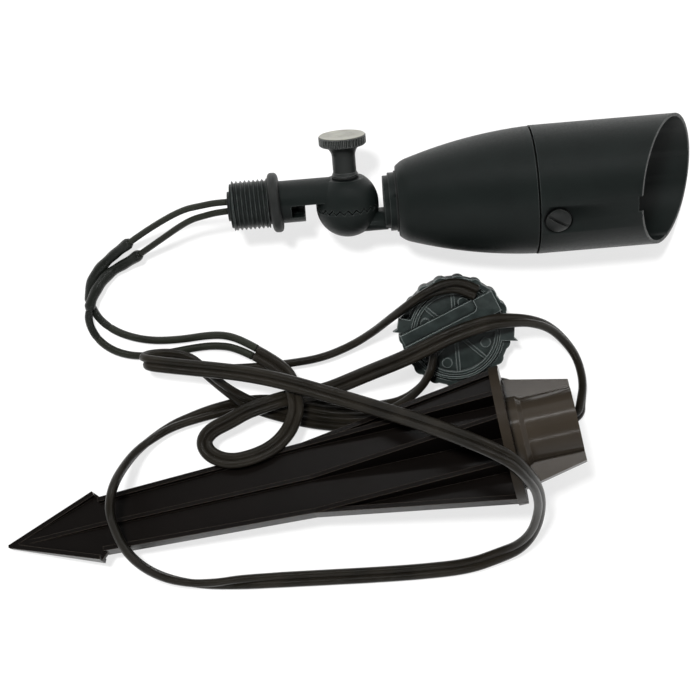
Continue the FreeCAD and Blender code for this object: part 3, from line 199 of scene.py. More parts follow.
def ramp(tree, fac, low, high, colour_low, colour_high):
    """A smooth change from one colour to another as fac goes from low to high."""
    node = add(tree, "ShaderNodeValToRGB", {"Fac": fac})
    first, last = node.color_ramp.elements
    first.position, first.color = low, colour_low
    last.position, last.color = high, colour_high
    return node.outputs["Color"]


def between(tree, factor, low, high):
    """A mix of two colours, each a value or another node's output."""
    node = add(tree, "ShaderNodeMix", {"Factor": factor}, data_type="RGBA")
    for slot, colour in ((6, low), (7, high)):
        if isinstance(colour, bpy.types.NodeSocket):
            tree.links.new(colour, node.inputs[slot])
        else:
            node.inputs[slot].default_value = colour
    return node.outputs[2]


def spread(tree, value, low, high, to_low=0.0, to_high=1.0):
    """A value from low..high put on to_low..to_high, and held there."""
    return add(tree, "ShaderNodeMapRange", {"Value": value, "From Min": low, "From Max": high,
                                            "To Min": to_low, "To Max": to_high}).outputs["Result"]


def material(name):
    """An empty node material, and its tree."""
    made = bpy.data.materials.new(name)
    made.use_nodes = True
    tree = made.node_tree
    tree.nodes.clear()
    return made, tree


def finish_material(tree, shader):
    out = add(tree, "ShaderNodeOutputMaterial")
    tree.links.new(shader, out.inputs["Surface"])


def background_seen(tree, path):
    """1 for rays of the camera, of gloss and through glass, which see the pale background."""
    seen = path.outputs["Is Camera Ray"]
    for kind in ("Is Glossy Ray", "Is Transmission Ray"):
        either = add(tree, "ShaderNodeMath", {0: seen, 1: path.outputs[kind]}, operation="MAXIMUM")
        seen = either.outputs["Value"]
    return seen


def lamp_matrix():
    """From the lamp's own frame, X along its axis, to the row frame."""
    heading = Matrix.Rotation(math.radians(LAMP_HEADING), 4, "Z")
    roll = Matrix.Rotation(math.radians(LAMP_ROLL), 4, "X")
    return Matrix.Translation(Vector(LAMP_START) * MM) @ (heading @ roll)


def stake_turn():
    """From the stake's own frame, X from its tip to its head, to the row frame."""
    return (Matrix.Rotation(math.radians(STAKE_HEADING), 3, "Z")
            @ Matrix.Rotation(math.radians(-STAKE_PITCH), 3, "Y")
            @ Matrix.Rotation(math.radians(STAKE_ROLL), 3, "X"))


def link(name, mesh):
    made = bpy.data.objects.new(name, mesh)
    bpy.context.scene.collection.objects.link(made)
    return made


def paint(mesh, made_material):
    mesh.materials.clear()
    mesh.materials.append(made_material)


def dress(node, made_material):
    """Gives a CAD node's slots a material."""
    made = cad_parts[node]
    for slot in made.material_slots:
        slot.material = made_material
    if not made.material_slots:
        made.data.materials.append(made_material)


# ---------------------------------------------------------------- materials
M = {}                                # the finishes by their short names
FLAT_ENOUGH, SHARP_ENOUGH = 0.995, 0.90          # cosines between a face and its rounded normal
# where ambient occlusion starts and stops the painted shade in crevices, and how dark that painted shade
# gets
OPEN_FROM, OPEN_TO, CREVICE_SHADE_SHARE = 0.4, 0.8, 0.12
FACE_FROM, FACE_TO = 0.25 * MM, 0.1 * MM         # a bare face fades in this far under its top
FACE_DARKER = 0.72
NOISE_LOW, NOISE_HIGH = 0.3, 0.7                 # where most of a noise texture's values lie


def edge_mask(tree, radius):
    """1 on edges that a bevel of this radius would round, 0 on flat and gently curved faces."""
    bevel = add(tree, "ShaderNodeBevel", {"Radius": radius}, samples=4)
    plain = add(tree, "ShaderNodeNewGeometry")
    dot = add(tree, "ShaderNodeVectorMath", {0: bevel.outputs["Normal"], 1: plain.outputs["Normal"]},
              operation="DOT_PRODUCT")
    return spread(tree, dot.outputs["Value"], FLAT_ENOUGH, SHARP_ENOUGH)


def plain_finish(name, colour, edge_wear_and_glint, rough, grain, bump, *, metallic=0.0, rough_spread=0.12, shine=0.5,
                 blotch=0.012, cloud=1.25, edge=0.0005, edge_amount=0.6, bevel=0.00035, crevice_shade_reach=0.002,
                 face=None):
    """A moulded, painted or turned surface: fine grain, broad cloudiness, lighter edges, and painted shade
    darkening its crevices.

    grain, blotch, edge and bevel, and the reach of the painted shade in crevices, are lengths in metres, and
    bump is a depth. cloud is how much lighter the blotches are. face gives (axis, height, colour) to the end
    that stands highest along axis.
    """
    made, tree = material(name)
    where = add(tree, "ShaderNodeTexCoord").outputs["Object"]
    fine = add(tree, "ShaderNodeTexNoise", {"Vector": where, "Scale": 1 / grain, "Detail": 4.0,
                                            "Roughness": 0.6}).outputs["Fac"]
    broad = add(tree, "ShaderNodeTexNoise", {"Vector": where, "Scale": 1 / blotch,
                                             "Detail": 3.0}).outputs["Fac"]
    base = ramp(tree, broad, 0.35, 0.7, linear(colour), linear(colour, cloud))
    # lighter edges: wear on most finishes, and a painted highlight along the thread's crests
    edge_wear_and_glint_share = add(tree, "ShaderNodeMath", {0: edge_mask(tree, edge), 1: edge_amount}, operation="MULTIPLY")
    mixed = between(tree, edge_wear_and_glint_share.outputs["Value"], base, linear(edge_wear_and_glint))
    if face:
        axis, height, bare = face
        along = add(tree, "ShaderNodeVectorMath", {0: where, 1: axis}, operation="DOT_PRODUCT")
        top = spread(tree, along.outputs["Value"], height - FACE_FROM, height - FACE_TO)
        worn_face = ramp(tree, broad, 0.35, 0.65, linear(bare), linear(bare, FACE_DARKER))
        mixed = between(tree, top, mixed, worn_face)
    # painted shade: the colour darkens wherever other faces lie close, in creases, seams and crevices
    shade_ao = add(tree, "ShaderNodeAmbientOcclusion", {"Distance": crevice_shade_reach}, samples=6)
    unshaded_share = spread(tree, shade_ao.outputs["AO"], OPEN_FROM, OPEN_TO, CREVICE_SHADE_SHARE)
    shade = add(tree, "ShaderNodeVectorMath", {0: mixed, "Scale": unshaded_share}, operation="SCALE")
    rounded = add(tree, "ShaderNodeBevel", {"Radius": bevel}, samples=4)
    bumped = add(tree, "ShaderNodeBump", {"Height": fine, "Distance": bump, "Strength": 1.0,
                                          "Normal": rounded.outputs["Normal"]})
    half = rough_spread / 2
    shader = add(tree, "ShaderNodeBsdfPrincipled", {
        "Base Color": shade.outputs["Vector"], "Metallic": metallic, "Specular IOR Level": shine,
        "Roughness": spread(tree, fine, NOISE_LOW, NOISE_HIGH, rough - half, rough + half),
        "Normal": bumped.outputs["Normal"]})
    finish_material(tree, shader.outputs["BSDF"])
    return made


def glass_finish(name, tint, rough):
    """Clear drawn glass: a faint tint, and waves 5 mm long that bend what is seen through it a little."""
    made, tree = material(name)
    where = add(tree, "ShaderNodeTexCoord").outputs["Object"]
    waves = add(tree, "ShaderNodeTexNoise", {"Vector": where, "Scale": 180.0, "Detail": 2.0})
    bumped = add(tree, "ShaderNodeBump", {"Height": waves.outputs["Fac"], "Distance": 0.00004})
    shader = add(tree, "ShaderNodeBsdfPrincipled", {
        "Base Color": linear(tint), "Roughness": rough, "IOR": 1.5, "Transmission Weight": 1.0,
        "Normal": bumped.outputs["Normal"]})
    finish_material(tree, shader.outputs["BSDF"])
    return made


def mirror_finish():
    """Pressed glass under a dichroic coat: facets 3 mm across break the mirror into warm silver flecks."""
    made, tree = material("dichroic_coated_glass")
    where = add(tree, "ShaderNodeTexCoord").outputs["Object"]
    cells = add(tree, "ShaderNodeTexVoronoi", {"Vector": where, "Scale": 330.0}, feature="F1")
    tint = ramp(tree, cells.outputs["Distance"], 0.1, 0.8, linear("#d8d4cf"), linear("#b3a9a4"))
    bumped = add(tree, "ShaderNodeBump", {"Height": cells.outputs["Distance"], "Distance": 0.0006})
    shader = add(tree, "ShaderNodeBsdfPrincipled", {
        "Base Color": tint, "Metallic": 1.0, "Roughness": 0.12, "Normal": bumped.outputs["Normal"]})
    finish_material(tree, shader.outputs["BSDF"])
    return made


def cord_finish(name, colour, light, rough):
    """Extruded vinyl: draw lines run along it, and its gloss changes slowly from length to length.

    The draw lines are drawn coarser than real ones, about 60 round the cord, or they would not show.
    """
    made, tree = material(name)
    uv = add(tree, "ShaderNodeUVMap", uv_map="UVMap").outputs["UV"]
    lines_at = add(tree, "ShaderNodeMapping", {"Vector": uv, "Scale": (60.0, 25.0, 1.0)}).outputs["Vector"]
    lines = add(tree, "ShaderNodeTexNoise", {"Vector": lines_at, "Scale": 1.0, "Detail": 3.0}).outputs["Fac"]
    where = add(tree, "ShaderNodeTexCoord").outputs["Object"]
    cloud = add(tree, "ShaderNodeTexNoise", {"Vector": where, "Scale": 60.0, "Detail": 3.0}).outputs["Fac"]
    bumped = add(tree, "ShaderNodeBump", {"Height": lines, "Distance": 0.08 * MM})
    shader = add(tree, "ShaderNodeBsdfPrincipled", {
        "Base Color": ramp(tree, cloud, 0.35, 0.68, linear(colour), linear(light)),
        "Roughness": spread(tree, cloud, NOISE_LOW, NOISE_HIGH, rough - 0.06, rough + 0.08),
        "Specular IOR Level": 0.25, "Normal": bumped.outputs["Normal"]})
    finish_material(tree, shader.outputs["BSDF"])
    return made


def make_materials():
    scene = bpy.context.scene
    lamp, stake, connector, cord = scene.lamp_look, scene.stake_look, scene.connector_look, scene.cord_look
    # powder, sprayed and baked on cast metal: a satin skin with wide, soft highlights, thin along the edges
    M["coat"] = plain_finish("satin_powder_coat", lamp.coat, lamp.coat_worn, 0.5, 0.9 * MM, 0.02 * MM,
                             shine=0.2)
    # a thread rolled before coating: a thin bright line of lighter colour along each crest, a painted
    # highlight
    M["thread"] = plain_finish("rolled_thread", "#0d1110", "#7d8381", 0.4, 0.9 * MM, 0.01 * MM, shine=0.25,
                               edge=0.3 * MM, edge_amount=0.8, bevel=0.1 * MM)
    # paint on a knurled screw: painted shade darkens it between the knurls, and the flat top is bare pale
    # metal, the paint gone through wear
    screw_axis = lamp_matrix().to_3x3() @ Vector((0, 1, 0))
    top = max(v.co.dot(screw_axis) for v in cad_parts["thumb_screw"].data.vertices)
    M["knob"] = plain_finish("worn_screw_paint", lamp.knob, "#8d8f8d", 0.46, 0.8 * MM, 0.02 * MM,
                             metallic=0.1, shine=0.3, blotch=6 * MM, edge=0.3 * MM, edge_amount=0.7,
                             crevice_shade_reach=1 * MM, face=(tuple(screw_axis), top, "#9a998f"))
    # steel blackened in a hot bath: nearly as dark as the coat, with a tighter, harder highlight
    M["black_steel"] = plain_finish("blackened_steel", "#101211", "#3a3c3a", 0.4, 0.6 * MM, 0.01 * MM,
                                    metallic=0.3)
    # rubber pressed in a mould: dull and even, with no bright edge
    M["rubber"] = plain_finish("nitrile_rubber", "#101211", "#222423", 0.6, 0.8 * MM, 0.03 * MM)
    # brass turned from bar: warm and bright
    M["brass"] = plain_finish("turned_brass", "#b8934f", "#dcbf83", 0.3, 0.8 * MM, 0.01 * MM, metallic=1.0)
    # sheet steel, stamped and then zinc plated: cool light grey with a soft sheen
    M["steel"] = plain_finish("zinc_plated_steel", "#b6b6b4", "#dededc", 0.32, 0.8 * MM, 0.01 * MM,
                              metallic=1.0)
    # ceramic pressed and fired without a glaze: off-white and dry
    M["ceramic"] = plain_finish("steatite_ceramic", "#d9d5c8", "#eeebe2", 0.7, 0.7 * MM, 0.03 * MM)
    M["mirror"] = mirror_finish()
    M["glass"] = glass_finish("clear_glass", "#f0f5f4", 0.02)
    # polypropylene from a plain mould: near black, with a weak even sheen and pale scuffed edges
    stake_axis = stake_turn() @ Vector((1, 0, 0))
    disc = (Vector(STAKE_TIP) * MM).dot(stake_axis) + DISC_AT * MM
    M["stake"] = plain_finish("moulded_polypropylene", stake.plastic, "#4a433c", 0.32, 1.2 * MM, 0.002 * MM,
                              rough_spread=0.04, shine=0.1, blotch=20 * MM, edge_amount=0.5,
                              face=(tuple(stake_axis), disc, stake.head))
    # the same plastic from a polished part of the mould: browner, with long bright streaks
    M["stake_gloss"] = plain_finish("polished_mould_polypropylene", stake.head, "#4a433c", 0.2, 1.2 * MM,
                                    0.002 * MM, rough_spread=0.04, shine=0.25, blotch=20 * MM,
                                    edge_amount=0.5)
    # glass-filled nylon from a spark-eroded mould: dry and mottled, its raised edges scuffed pale;
    # the mottle is drawn 4 mm across, coarser than a real one, so that it shows
    M["connector"] = plain_finish("filled_nylon", connector.plastic, "#8a9290", 0.5, 0.7 * MM, 0.05 * MM,
                                  shine=0.3, blotch=4 * MM, cloud=1.7, edge=0.6 * MM, edge_amount=0.75)
    # vinyl extruded over the two cores: a long even highlight on each core, dark in the groove
    M["cord"] = cord_finish("flat_cord_vinyl", cord.jacket, "#1d1a15", 0.34)
    # vinyl extruded over one core: a little duller and greener
    M["lead"] = cord_finish("lead_vinyl", cord.lead, "#20221c", 0.4)
    # tubing shrunk on with hot air: tight and smooth, and lumpy where it follows the splice
    M["sleeve"] = cord_finish("heat_shrink_tubing", "#111310", "#1a1c19", 0.36)


NODE_FINISH = {
    "coat": ["head_knuckle", "lamp_body", "glare_shroud", "knuckle_arm"],
    "knob": ["thumb_screw"],
    "black_steel": ["shroud_screw", "thumb_washer"],
    "rubber": ["nipple_o_ring", "wire_grommet", "rear_gasket", "body_seal", "lens_gasket"],
    "brass": ["knuckle_insert"],
    "steel": ["socket_bracket", "bracket_screws", "bulb_pins", "lens_clip"],
    "ceramic": ["lamp_socket", "bulb_base"],
    "mirror": ["bulb_reflector"],
    "glass": ["bulb_cover", "bulb_capsule", "lens_glass"],
    "stake": ["ground_stake"],
    "stake_gloss": ["stake_head"],
    "connector": ["connector_base", "connector_ring", "connector_face", "connector_bar", "connector_latch"],
    "lead": ["arm_leads", "socket_leads"],
}


# ---------------------------------------------------------------- cords
TABLE_GAP = 0.1                       # mm, under each cord
LEAD_R, CORE_R, SPLICE_R, END_SLEEVE_R = 1.4 * MM, 1.7 * MM, 2.35 * MM, 1.72 * MM
# where each sleeve starts and ends, as shares of its lead
SPLICE_SHARE = {"a": (0.30, 0.52), "b": (0.28, 0.50)}
END_SHARE = {"a": (0.52, 0.60), "b": (0.50, 0.58)}
SLEEVE_WALL, SLEEVE_TAPER = 0.18 * MM, 2.5 * MM
SPLICE_WAVE, END_WAVE = 0.22, 0.05    # mm, how far a sleeve is lumpy
STEEP = 0.25                          # a cord nearer to upright than this sine keeps its turn
TWIST_MOST, TWIST_SHARE = 0.12, 0.35  # radians from point to point, and the share of what is wanted


def smooth_line(route, closeness):
    """Points along the NURBS line of a route, with this many of them for each control point."""
    curve = bpy.data.curves.new("line", "CURVE")
    curve.dimensions = "3D"
    spline = curve.splines.new("NURBS")
    spline.points.add(len(route) - 1)
    for point, at in zip(spline.points, route):
        point.co = (at[0] * MM, at[1] * MM, at[2] * MM, 1.0)
    spline.order_u = 3
    spline.use_endpoint_u = True
    spline.resolution_u = closeness
    holder = link("line", curve)
    shown = holder.evaluated_get(bpy.context.evaluated_depsgraph_get())
    mesh = bpy.data.meshes.new_from_object(shown)
    line = [v.co.copy() for v in mesh.vertices]
    bpy.data.objects.remove(holder)
    bpy.data.curves.remove(curve)
    bpy.data.meshes.remove(mesh)
    return line


def round_section(radius, sides=14):
    return [(radius * math.cos(2 * math.pi * i / sides), radius * math.sin(2 * math.pi * i / sides))
            for i in range(sides)]


def flat_section(width, height, web, count=9):
    """Two round cores side by side, joined by a thin web, with count points round each core."""
    r = height / 2
    off = width / 2 - r
    reach = math.pi - math.asin(min(0.99, web / r))
    right = []
    for i in range(count):
        angle = -reach + 2 * reach * i / (count - 1)
        right.append((off + r * math.cos(angle), r * math.sin(angle)))
    left = [(-x, -y) for x, y in right]
    return right + [(0.0, web * 0.75)] + left + [(0.0, -web * 0.75)]


def resting(route, width, height):
    """The route with each point high enough for the flat cord to lie on the table, not in it."""
    out = []
    for x, y, z, lie in route:
        lowest = height / 2 + (width / 2 - height / 2) * abs(math.sin(math.radians(lie)))
        out.append((x, y, max(z, lowest / MM + TABLE_GAP), lie))
    return out


def lie_at(route, share):
    """The flat cord's lie between the two control points that a share of the line falls on."""
    place = share * (len(route) - 1)
    i = min(int(place), len(route) - 2)
    part = place - i
    return route[i][3] * (1 - part) + route[i + 1][3] * part


def sweep(name, line, section_at, lies=None):
    """A closed tube along a line. section_at(i) is its outline at point i, and lies turns a flat cord.

    Its UV map goes once round the tube in U, and by one for each 100 mm in V. A ring that would
    reach into the table is lifted onto it.
    """
    tangents = []
    for i in range(len(line)):
        ahead, behind = line[min(i + 1, len(line) - 1)], line[max(i - 1, 0)]
        tangents.append((ahead - behind).normalized())
    side = tangents[0].cross(Vector((0, 0, 1))).normalized()
    sides, turn = [], 0.0
    for i, along in enumerate(tangents):
        side = (side - along * side.dot(along)).normalized()
        if lies is None:
            sides.append(side.copy())
            continue
        up = side.cross(along).normalized()
        level = along.cross(Vector((0, 0, 1)))
        if level.length > STEEP:
            wanted = math.atan2(level.dot(up), level.dot(side)) + math.radians(lies[i])
            step = (wanted - turn + math.pi / 2) % math.pi - math.pi / 2
            turn += max(-TWIST_MOST, min(TWIST_MOST, step * TWIST_SHARE))
        sides.append(side * math.cos(turn) + up * math.sin(turn))
    made = bmesh.new()
    layer = made.loops.layers.uv.new("UVMap")
    rings, travelled, along_line = [], 0.0, []
    for i, at in enumerate(line):
        if i:
            travelled += (at - line[i - 1]).length
        along_line.append(travelled)
        across = sides[i]
        up = tangents[i].cross(across).normalized()
        ring = [at + across * x + up * y for x, y in section_at(i)]
        lift = max(0.0, TABLE_GAP * MM - min(point.z for point in ring))
        rings.append([made.verts.new(point + Vector((0, 0, lift))) for point in ring])
    count = len(rings[0])
    for i in range(len(rings) - 1):
        for j in range(count):
            k = (j + 1) % count
            face = made.faces.new((rings[i][j], rings[i][k], rings[i + 1][k], rings[i + 1][j]))
            face.smooth = True
            for loop, uv in zip(face.loops, ((j, i), (j + 1, i), (j + 1, i + 1), (j, i + 1))):
                loop[layer].uv = (uv[0] / count, along_line[uv[1]] / MM / 100)
    made.faces.new(rings[0][::-1])
    made.faces.new(rings[-1])
    bmesh.ops.recalc_face_normals(made, faces=made.faces)
    mesh = bpy.data.meshes.new(name)
    made.to_mesh(mesh)
    made.free()
    return link(name, mesh)


def eased(value, low, high):
    """A smooth step from 0 at low to 1 at high."""
    part = max(0.0, min(1.0, (value - low) / (high - low)))
    return part * part * (3 - 2 * part)


def distances(line):
    """How far along a line each of its points is."""
    out, total = [0.0], 0.0
    for a, b in zip(line, line[1:]):
        total += (b - a).length
        out.append(total)
    return out


def make_lead(letter, route):
    """A fixture lead, its splice sleeve and the end sleeve of the split core that it runs on into."""
    line = smooth_line(route, 14)
    far = distances(line)
    total = far[-1]
    core_from = END_SHARE[letter][1] * total

    def lead_section(i):
        grown = eased(far[i], core_from - 2 * MM, core_from + 1 * MM)
        return round_section(LEAD_R + (CORE_R - LEAD_R) * grown)

    lead = sweep("fixture_lead_%s_jacket" % letter, line, lead_section)
    paint(lead.data, M["lead"])
    for word, (start, end), radius, wave in (("splice", SPLICE_SHARE[letter], SPLICE_R, SPLICE_WAVE),
                                             ("end", END_SHARE[letter], END_SLEEVE_R, END_WAVE)):
        first, last = start * total, end * total
        part = [i for i, d in enumerate(far) if first <= d <= last]

        def sleeve_section(i, part=part, first=first, last=last, radius=radius, wave=wave):
            at = far[part[i]]
            taper = eased(at, first, first + SLEEVE_TAPER) * (1 - eased(at, last - SLEEVE_TAPER, last))
            lumps = wave * MM * math.sin((at - first) / MM * 0.55) * math.sin((at - first) / MM * 0.21 + 1)
            least = LEAD_R + SLEEVE_WALL
            return round_section(least + (radius - least) * taper + lumps * taper, 18)

        sleeve = sweep("%s_sleeve_%s_tube" % (word, letter), [line[i] for i in part], sleeve_section)
        paint(sleeve.data, M["sleeve"])
        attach(sleeve, ROOT)
        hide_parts("%s_sleeve_%s" % (word, letter))
    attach(lead, ROOT)
    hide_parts("fixture_lead_" + letter, "lead_core_" + letter)


def make_flat_cord(name, node, route):
    """A length of the flat two-core cord, twisting slowly between its flat and its upright runs."""
    look = bpy.context.scene.cord_look
    route = resting(route, look.width, look.height)
    line = smooth_line(route, 10)
    lies = [lie_at(route, i / (len(line) - 1)) for i in range(len(line))]
    section = flat_section(look.width, look.height, look.groove)
    cord = sweep(name, line, lambda i: section, lies)
    paint(cord.data, M["cord"])
    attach(cord, ROOT)
    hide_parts(node)


# ---------------------------------------------------------------- the lamp's own detail
# mm in the lamp's own frame, X along its axis from the end of the nipple
NIPPLE_R, NIPPLE_START, NIPPLE_END = 10.5, 1.0, 16.0
THREAD_SLEEVE_R = 9.3                 # inside of the sleeve that carries the thread
NOTCH_FLOOR, NOTCH_LIFT, RIM_R = 165.1, 2.1, 25.5
RING_GAP, RING_SHARE, RING_LEAN = 0.6, 0.74, -3.0         # the lean is in degrees
KNUCKLE_AT, KNUCKLE_R, TOOTH_REACH, SEAM_SPARE = 49.0, 13.2, 0.98, 0.3


def copied(node):
    """A merged copy of a CAD node's mesh in the lamp's own frame, in mm."""
    made = bmesh.new()
    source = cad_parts[node]
    made.from_mesh(source.data)
    bmesh.ops.remove_doubles(made, verts=made.verts, dist=0.00001)
    made.transform(Matrix.Scale(1 / MM, 4) @ lamp_matrix().inverted() @ source.matrix_world)
    return made


def placed(name, made, replaced, body, finish):
    """Puts a mesh made in the lamp's frame in its place, instead of a CAD node where one is named."""
    made.transform(lamp_matrix() @ Matrix.Scale(MM, 4))
    bmesh.ops.recalc_face_normals(made, faces=made.faces)
    mesh = bpy.data.meshes.new(name)
    made.to_mesh(mesh)
    made.free()
    paint(mesh, M[finish])
    piece = link(name, mesh)
    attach(piece, body)
    if replaced:
        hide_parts(replaced)


def from_nipple_axis(v):
    return math.hypot(v.co.y - ARM_OFFSET, v.co.z)


def draw_in(v):
    """Moves a vertex to the inside of the thread's sleeve."""
    share = THREAD_SLEEVE_R / from_nipple_axis(v)
    v.co.y = ARM_OFFSET + (v.co.y - ARM_OFFSET) * share
    v.co.z *= share


def make_arm():
    """The arm with the nipple's plain cylinder drawn in under a sleeve that carries the thread."""
    made = copied("knuckle_arm")
    for v in made.verts:
        out = from_nipple_axis(v)
        if v.co.x < NIPPLE_END + 0.3 and out > THREAD_SLEEVE_R:
            if v.co.x < NIPPLE_END - 0.3 or out < NIPPLE_R + 0.1:
                draw_in(v)
    open_teeth(made, 1)
    placed("arm_casting", made, "knuckle_arm", ROOT, "coat")


def thread_tree():
    """Geometry Nodes: a tube whose wall follows one helix, round at crest and root, fading at both ends."""
    tree = bpy.data.node_groups.new("pipe_thread", "GeometryNodeTree")
    face = tree.interface
    for kind, names in (("Float", ("Pitch", "Depth", "Radius", "Length", "Run-out", "Root share")),
                        ("Int", ("Around", "Along")), ("Material", ("Finish",))):
        for name in names:
            face.new_socket(name, in_out="INPUT", socket_type="NodeSocket" + kind)
    face.new_socket("Geometry", in_out="OUTPUT", socket_type="NodeSocketGeometry")
    given = add(tree, "NodeGroupInput").outputs

    def maths(kind, a, b=0.0):
        return add(tree, "ShaderNodeMath", {0: a, 1: b}, operation=kind).outputs["Value"]

    tube = add(tree, "GeometryNodeMeshCylinder", {
        "Vertices": given["Around"], "Side Segments": given["Along"], "Radius": given["Radius"],
        "Depth": given["Length"]}, fill_type="NONE")
    at = add(tree, "GeometryNodeInputPosition").outputs["Position"]
    part = add(tree, "ShaderNodeSeparateXYZ", {"Vector": at}).outputs
    turned = maths("ARCTAN2", part["Y"], part["X"])
    climbed = maths("MULTIPLY", maths("DIVIDE", part["Z"], given["Pitch"]), 2 * math.pi)
    cosine = maths("COSINE", maths("SUBTRACT", climbed, turned))
    wave = maths("SUBTRACT", 0.5, maths("MULTIPLY", cosine, 0.5))
    inside = maths("SUBTRACT", maths("DIVIDE", given["Length"], 2.0), maths("ABSOLUTE", part["Z"]))
    fade = add(tree, "ShaderNodeMapRange", {"Value": inside, "From Min": 0.0, "From Max": given["Run-out"]},
               interpolation_type="SMOOTHSTEP").outputs["Result"]
    root = maths("POWER", wave, given["Root share"])
    cut = maths("MULTIPLY", maths("MULTIPLY", root, fade), given["Depth"])
    share = maths("DIVIDE", maths("SUBTRACT", given["Radius"], cut), given["Radius"])
    scale = add(tree, "ShaderNodeCombineXYZ", {"X": share, "Y": share, "Z": 1.0}).outputs["Vector"]
    moved = add(tree, "ShaderNodeVectorMath", {0: at, 1: scale}, operation="MULTIPLY").outputs["Vector"]
    cut_tube = add(tree, "GeometryNodeSetPosition", {"Geometry": tube.outputs["Mesh"], "Position": moved})
    real = add(tree, "GeometryNodeRealizeInstances", {"Geometry": cut_tube.outputs["Geometry"]})
    done = add(tree, "GeometryNodeSetMaterial", {"Geometry": real.outputs["Geometry"],
                                                 "Material": given["Finish"]})
    out = add(tree, "NodeGroupOutput")
    tree.links.new(done.outputs["Geometry"], out.inputs["Geometry"])
    return tree


def grown(name, tree, values):
    """The plain mesh that a Geometry Nodes tree gives with these inputs."""
    holder = link(name, bpy.data.meshes.new(name))
    modifier = holder.modifiers.new(name, "NODES")
    modifier.node_group = tree
    for item in tree.interface.items_tree:
        if item.in_out == "INPUT":
            modifier[item.identifier] = values[item.name]
    mesh = bpy.data.meshes.new_from_object(holder.evaluated_get(bpy.context.evaluated_depsgraph_get()))
    bpy.data.objects.remove(holder)
    return mesh


def make_thread():
    """The nipple's pipe thread on a sleeve, with a plain wall inside."""
    look = bpy.context.scene.lamp_look
    mesh = grown("thread_tube", thread_tree(), {
        "Pitch": look.thread_pitch / MM, "Depth": look.thread_depth / MM, "Radius": NIPPLE_R - 0.02,
        "Length": NIPPLE_END - NIPPLE_START, "Run-out": 0.9, "Root share": 0.6, "Around": 84, "Along": 120,
        "Finish": M["thread"]})
    made = bmesh.new()
    made.from_mesh(mesh)
    middle = (NIPPLE_START + NIPPLE_END) / 2
    for v in made.verts:
        v.co = (v.co.z + middle, ARM_OFFSET + v.co.x, v.co.y)
    ends = [e for e in made.edges if e.is_boundary]
    inner = bmesh.ops.extrude_edge_only(made, edges=ends)["geom"]
    for v in (g for g in inner if isinstance(g, bmesh.types.BMVert)):
        draw_in(v)
    bmesh.ops.bridge_loops(made, edges=[e for e in made.edges if e.is_boundary])
    for face in made.faces:
        face.smooth = True
    placed("nipple_thread", made, None, ROOT, "thread")


def make_o_ring():
    """The rubber ring behind the thread, thinner than its groove and leaning, as the photo shows it."""
    made = copied("nipple_o_ring")
    lean = math.tan(math.radians(RING_LEAN))
    for v in made.verts:
        v.co.x = NIPPLE_END + RING_GAP + (v.co.x - NIPPLE_END) * RING_SHARE + (v.co.y - ARM_OFFSET) * lean
    placed("rubber_ring", made, "nipple_o_ring", ROOT, "rubber")


def open_teeth(made, away):
    """Draws the teeth back a little from the parting plane, so that the seam shows dark."""
    for v in made.verts:
        near = math.hypot(v.co.x - KNUCKLE_AT, v.co.z) < KNUCKLE_R + 0.1
        if near and abs(v.co.y) < TOOTH_REACH:
            v.co.y += away * SEAM_SPARE


def make_head_knuckle():
    """The head's half of the knuckle, with its teeth drawn back from the seam."""
    made = copied("head_knuckle")
    open_teeth(made, -1)
    placed("head_knuckle_casting", made, "head_knuckle", "head", "coat")


def make_shroud():
    """The glare shroud with the notch in its short side as shallow as it looks from above."""
    made = copied("glare_shroud")
    for v in made.verts:
        if abs(v.co.x - NOTCH_FLOOR) < 0.05 and math.hypot(v.co.y, v.co.z) > RIM_R:
            v.co.x += NOTCH_LIFT
    placed("shroud_tube", made, "glare_shroud", "shroud", "coat")


# ---------------------------------------------------------------- the stage
TABLE_REACH = 3.0                     # half the table's side, m
TABLE_UNSEEN = grey(0.28)             # the table's colour for the light that it throws back at the pieces
CAMERA_AT = (0.165 * MM, -3.99 * MM, 700 * MM)
# Name, place, size in X and Y, power (W), where it points, and whether glossy faces mirror it.
# The soft key makes the shadows; the glossy faces mirror only the two strips and the room.
LIGHTS = (
    ("soft_key", (-0.22, 0.27, 1.3), 0.16, 0.16, 23.0, (0.0, 0.0, 0.0), False),
    ("strip_above", (0.1, 0.42, 0.62), 0.9, 0.03, 1.6, (0.06, -0.03, 0.03), True),
    ("strip_below", (0.1, -0.42, 0.66), 0.9, 0.02, 0.9, (0.06, -0.03, 0.03), True),
)
# The room is light round the sides with a dark ceiling, so that faces turned straight up stay dark.
WALLS, CEILING, WALLS_TO, CEILING_FROM = grey(0.75), grey(0.06), 0.35, 0.95
ROOM_LIGHT, ROOM_SEEN = 0.5, 1.0      # its strength as light, and where it is seen


def make_table(look):
    """A matt white table that shows pale, with soft shadows, and throws back less light than it shows."""
    made, tree = material("matt_white_table")
    path = add(tree, "ShaderNodeLightPath")
    colour = between(tree, background_seen(tree, path), TABLE_UNSEEN, linear(look.floor))
    lit = add(tree, "ShaderNodeBsdfDiffuse", {"Color": colour})
    white = add(tree, "ShaderNodeEmission", {"Color": grey(1.0), "Strength": 1.0})
    share = add(tree, "ShaderNodeMath", {0: path.outputs["Is Camera Ray"], 1: look.paleness},
                operation="MULTIPLY")
    shader = add(tree, "ShaderNodeMixShader", {0: share.outputs["Value"], 1: lit.outputs["BSDF"],
                                               2: white.outputs["Emission"]})
    finish_material(tree, shader.outputs["Shader"])
    mesh = bpy.data.meshes.new("table")
    corners = [(x * TABLE_REACH, y * TABLE_REACH, 0) for x, y in ((-1, -1), (1, -1), (1, 1), (-1, 1))]
    mesh.from_pydata(corners, [], [(0, 1, 2, 3)])
    paint(mesh, made)
    table = link("table", mesh)


def make_lights():
    for name, at, size, size_y, power, aim, mirrored in LIGHTS:
        data = bpy.data.lights.new(name, "AREA")
        data.shape = "RECTANGLE"
        data.size = size
        data.size_y = size_y
        data.energy = power
        light = link(name, data)
        light.location = at
        light.rotation_euler = (Vector(aim) - Vector(at)).to_track_quat("-Z", "Y").to_euler()
        light.visible_glossy = mirrored


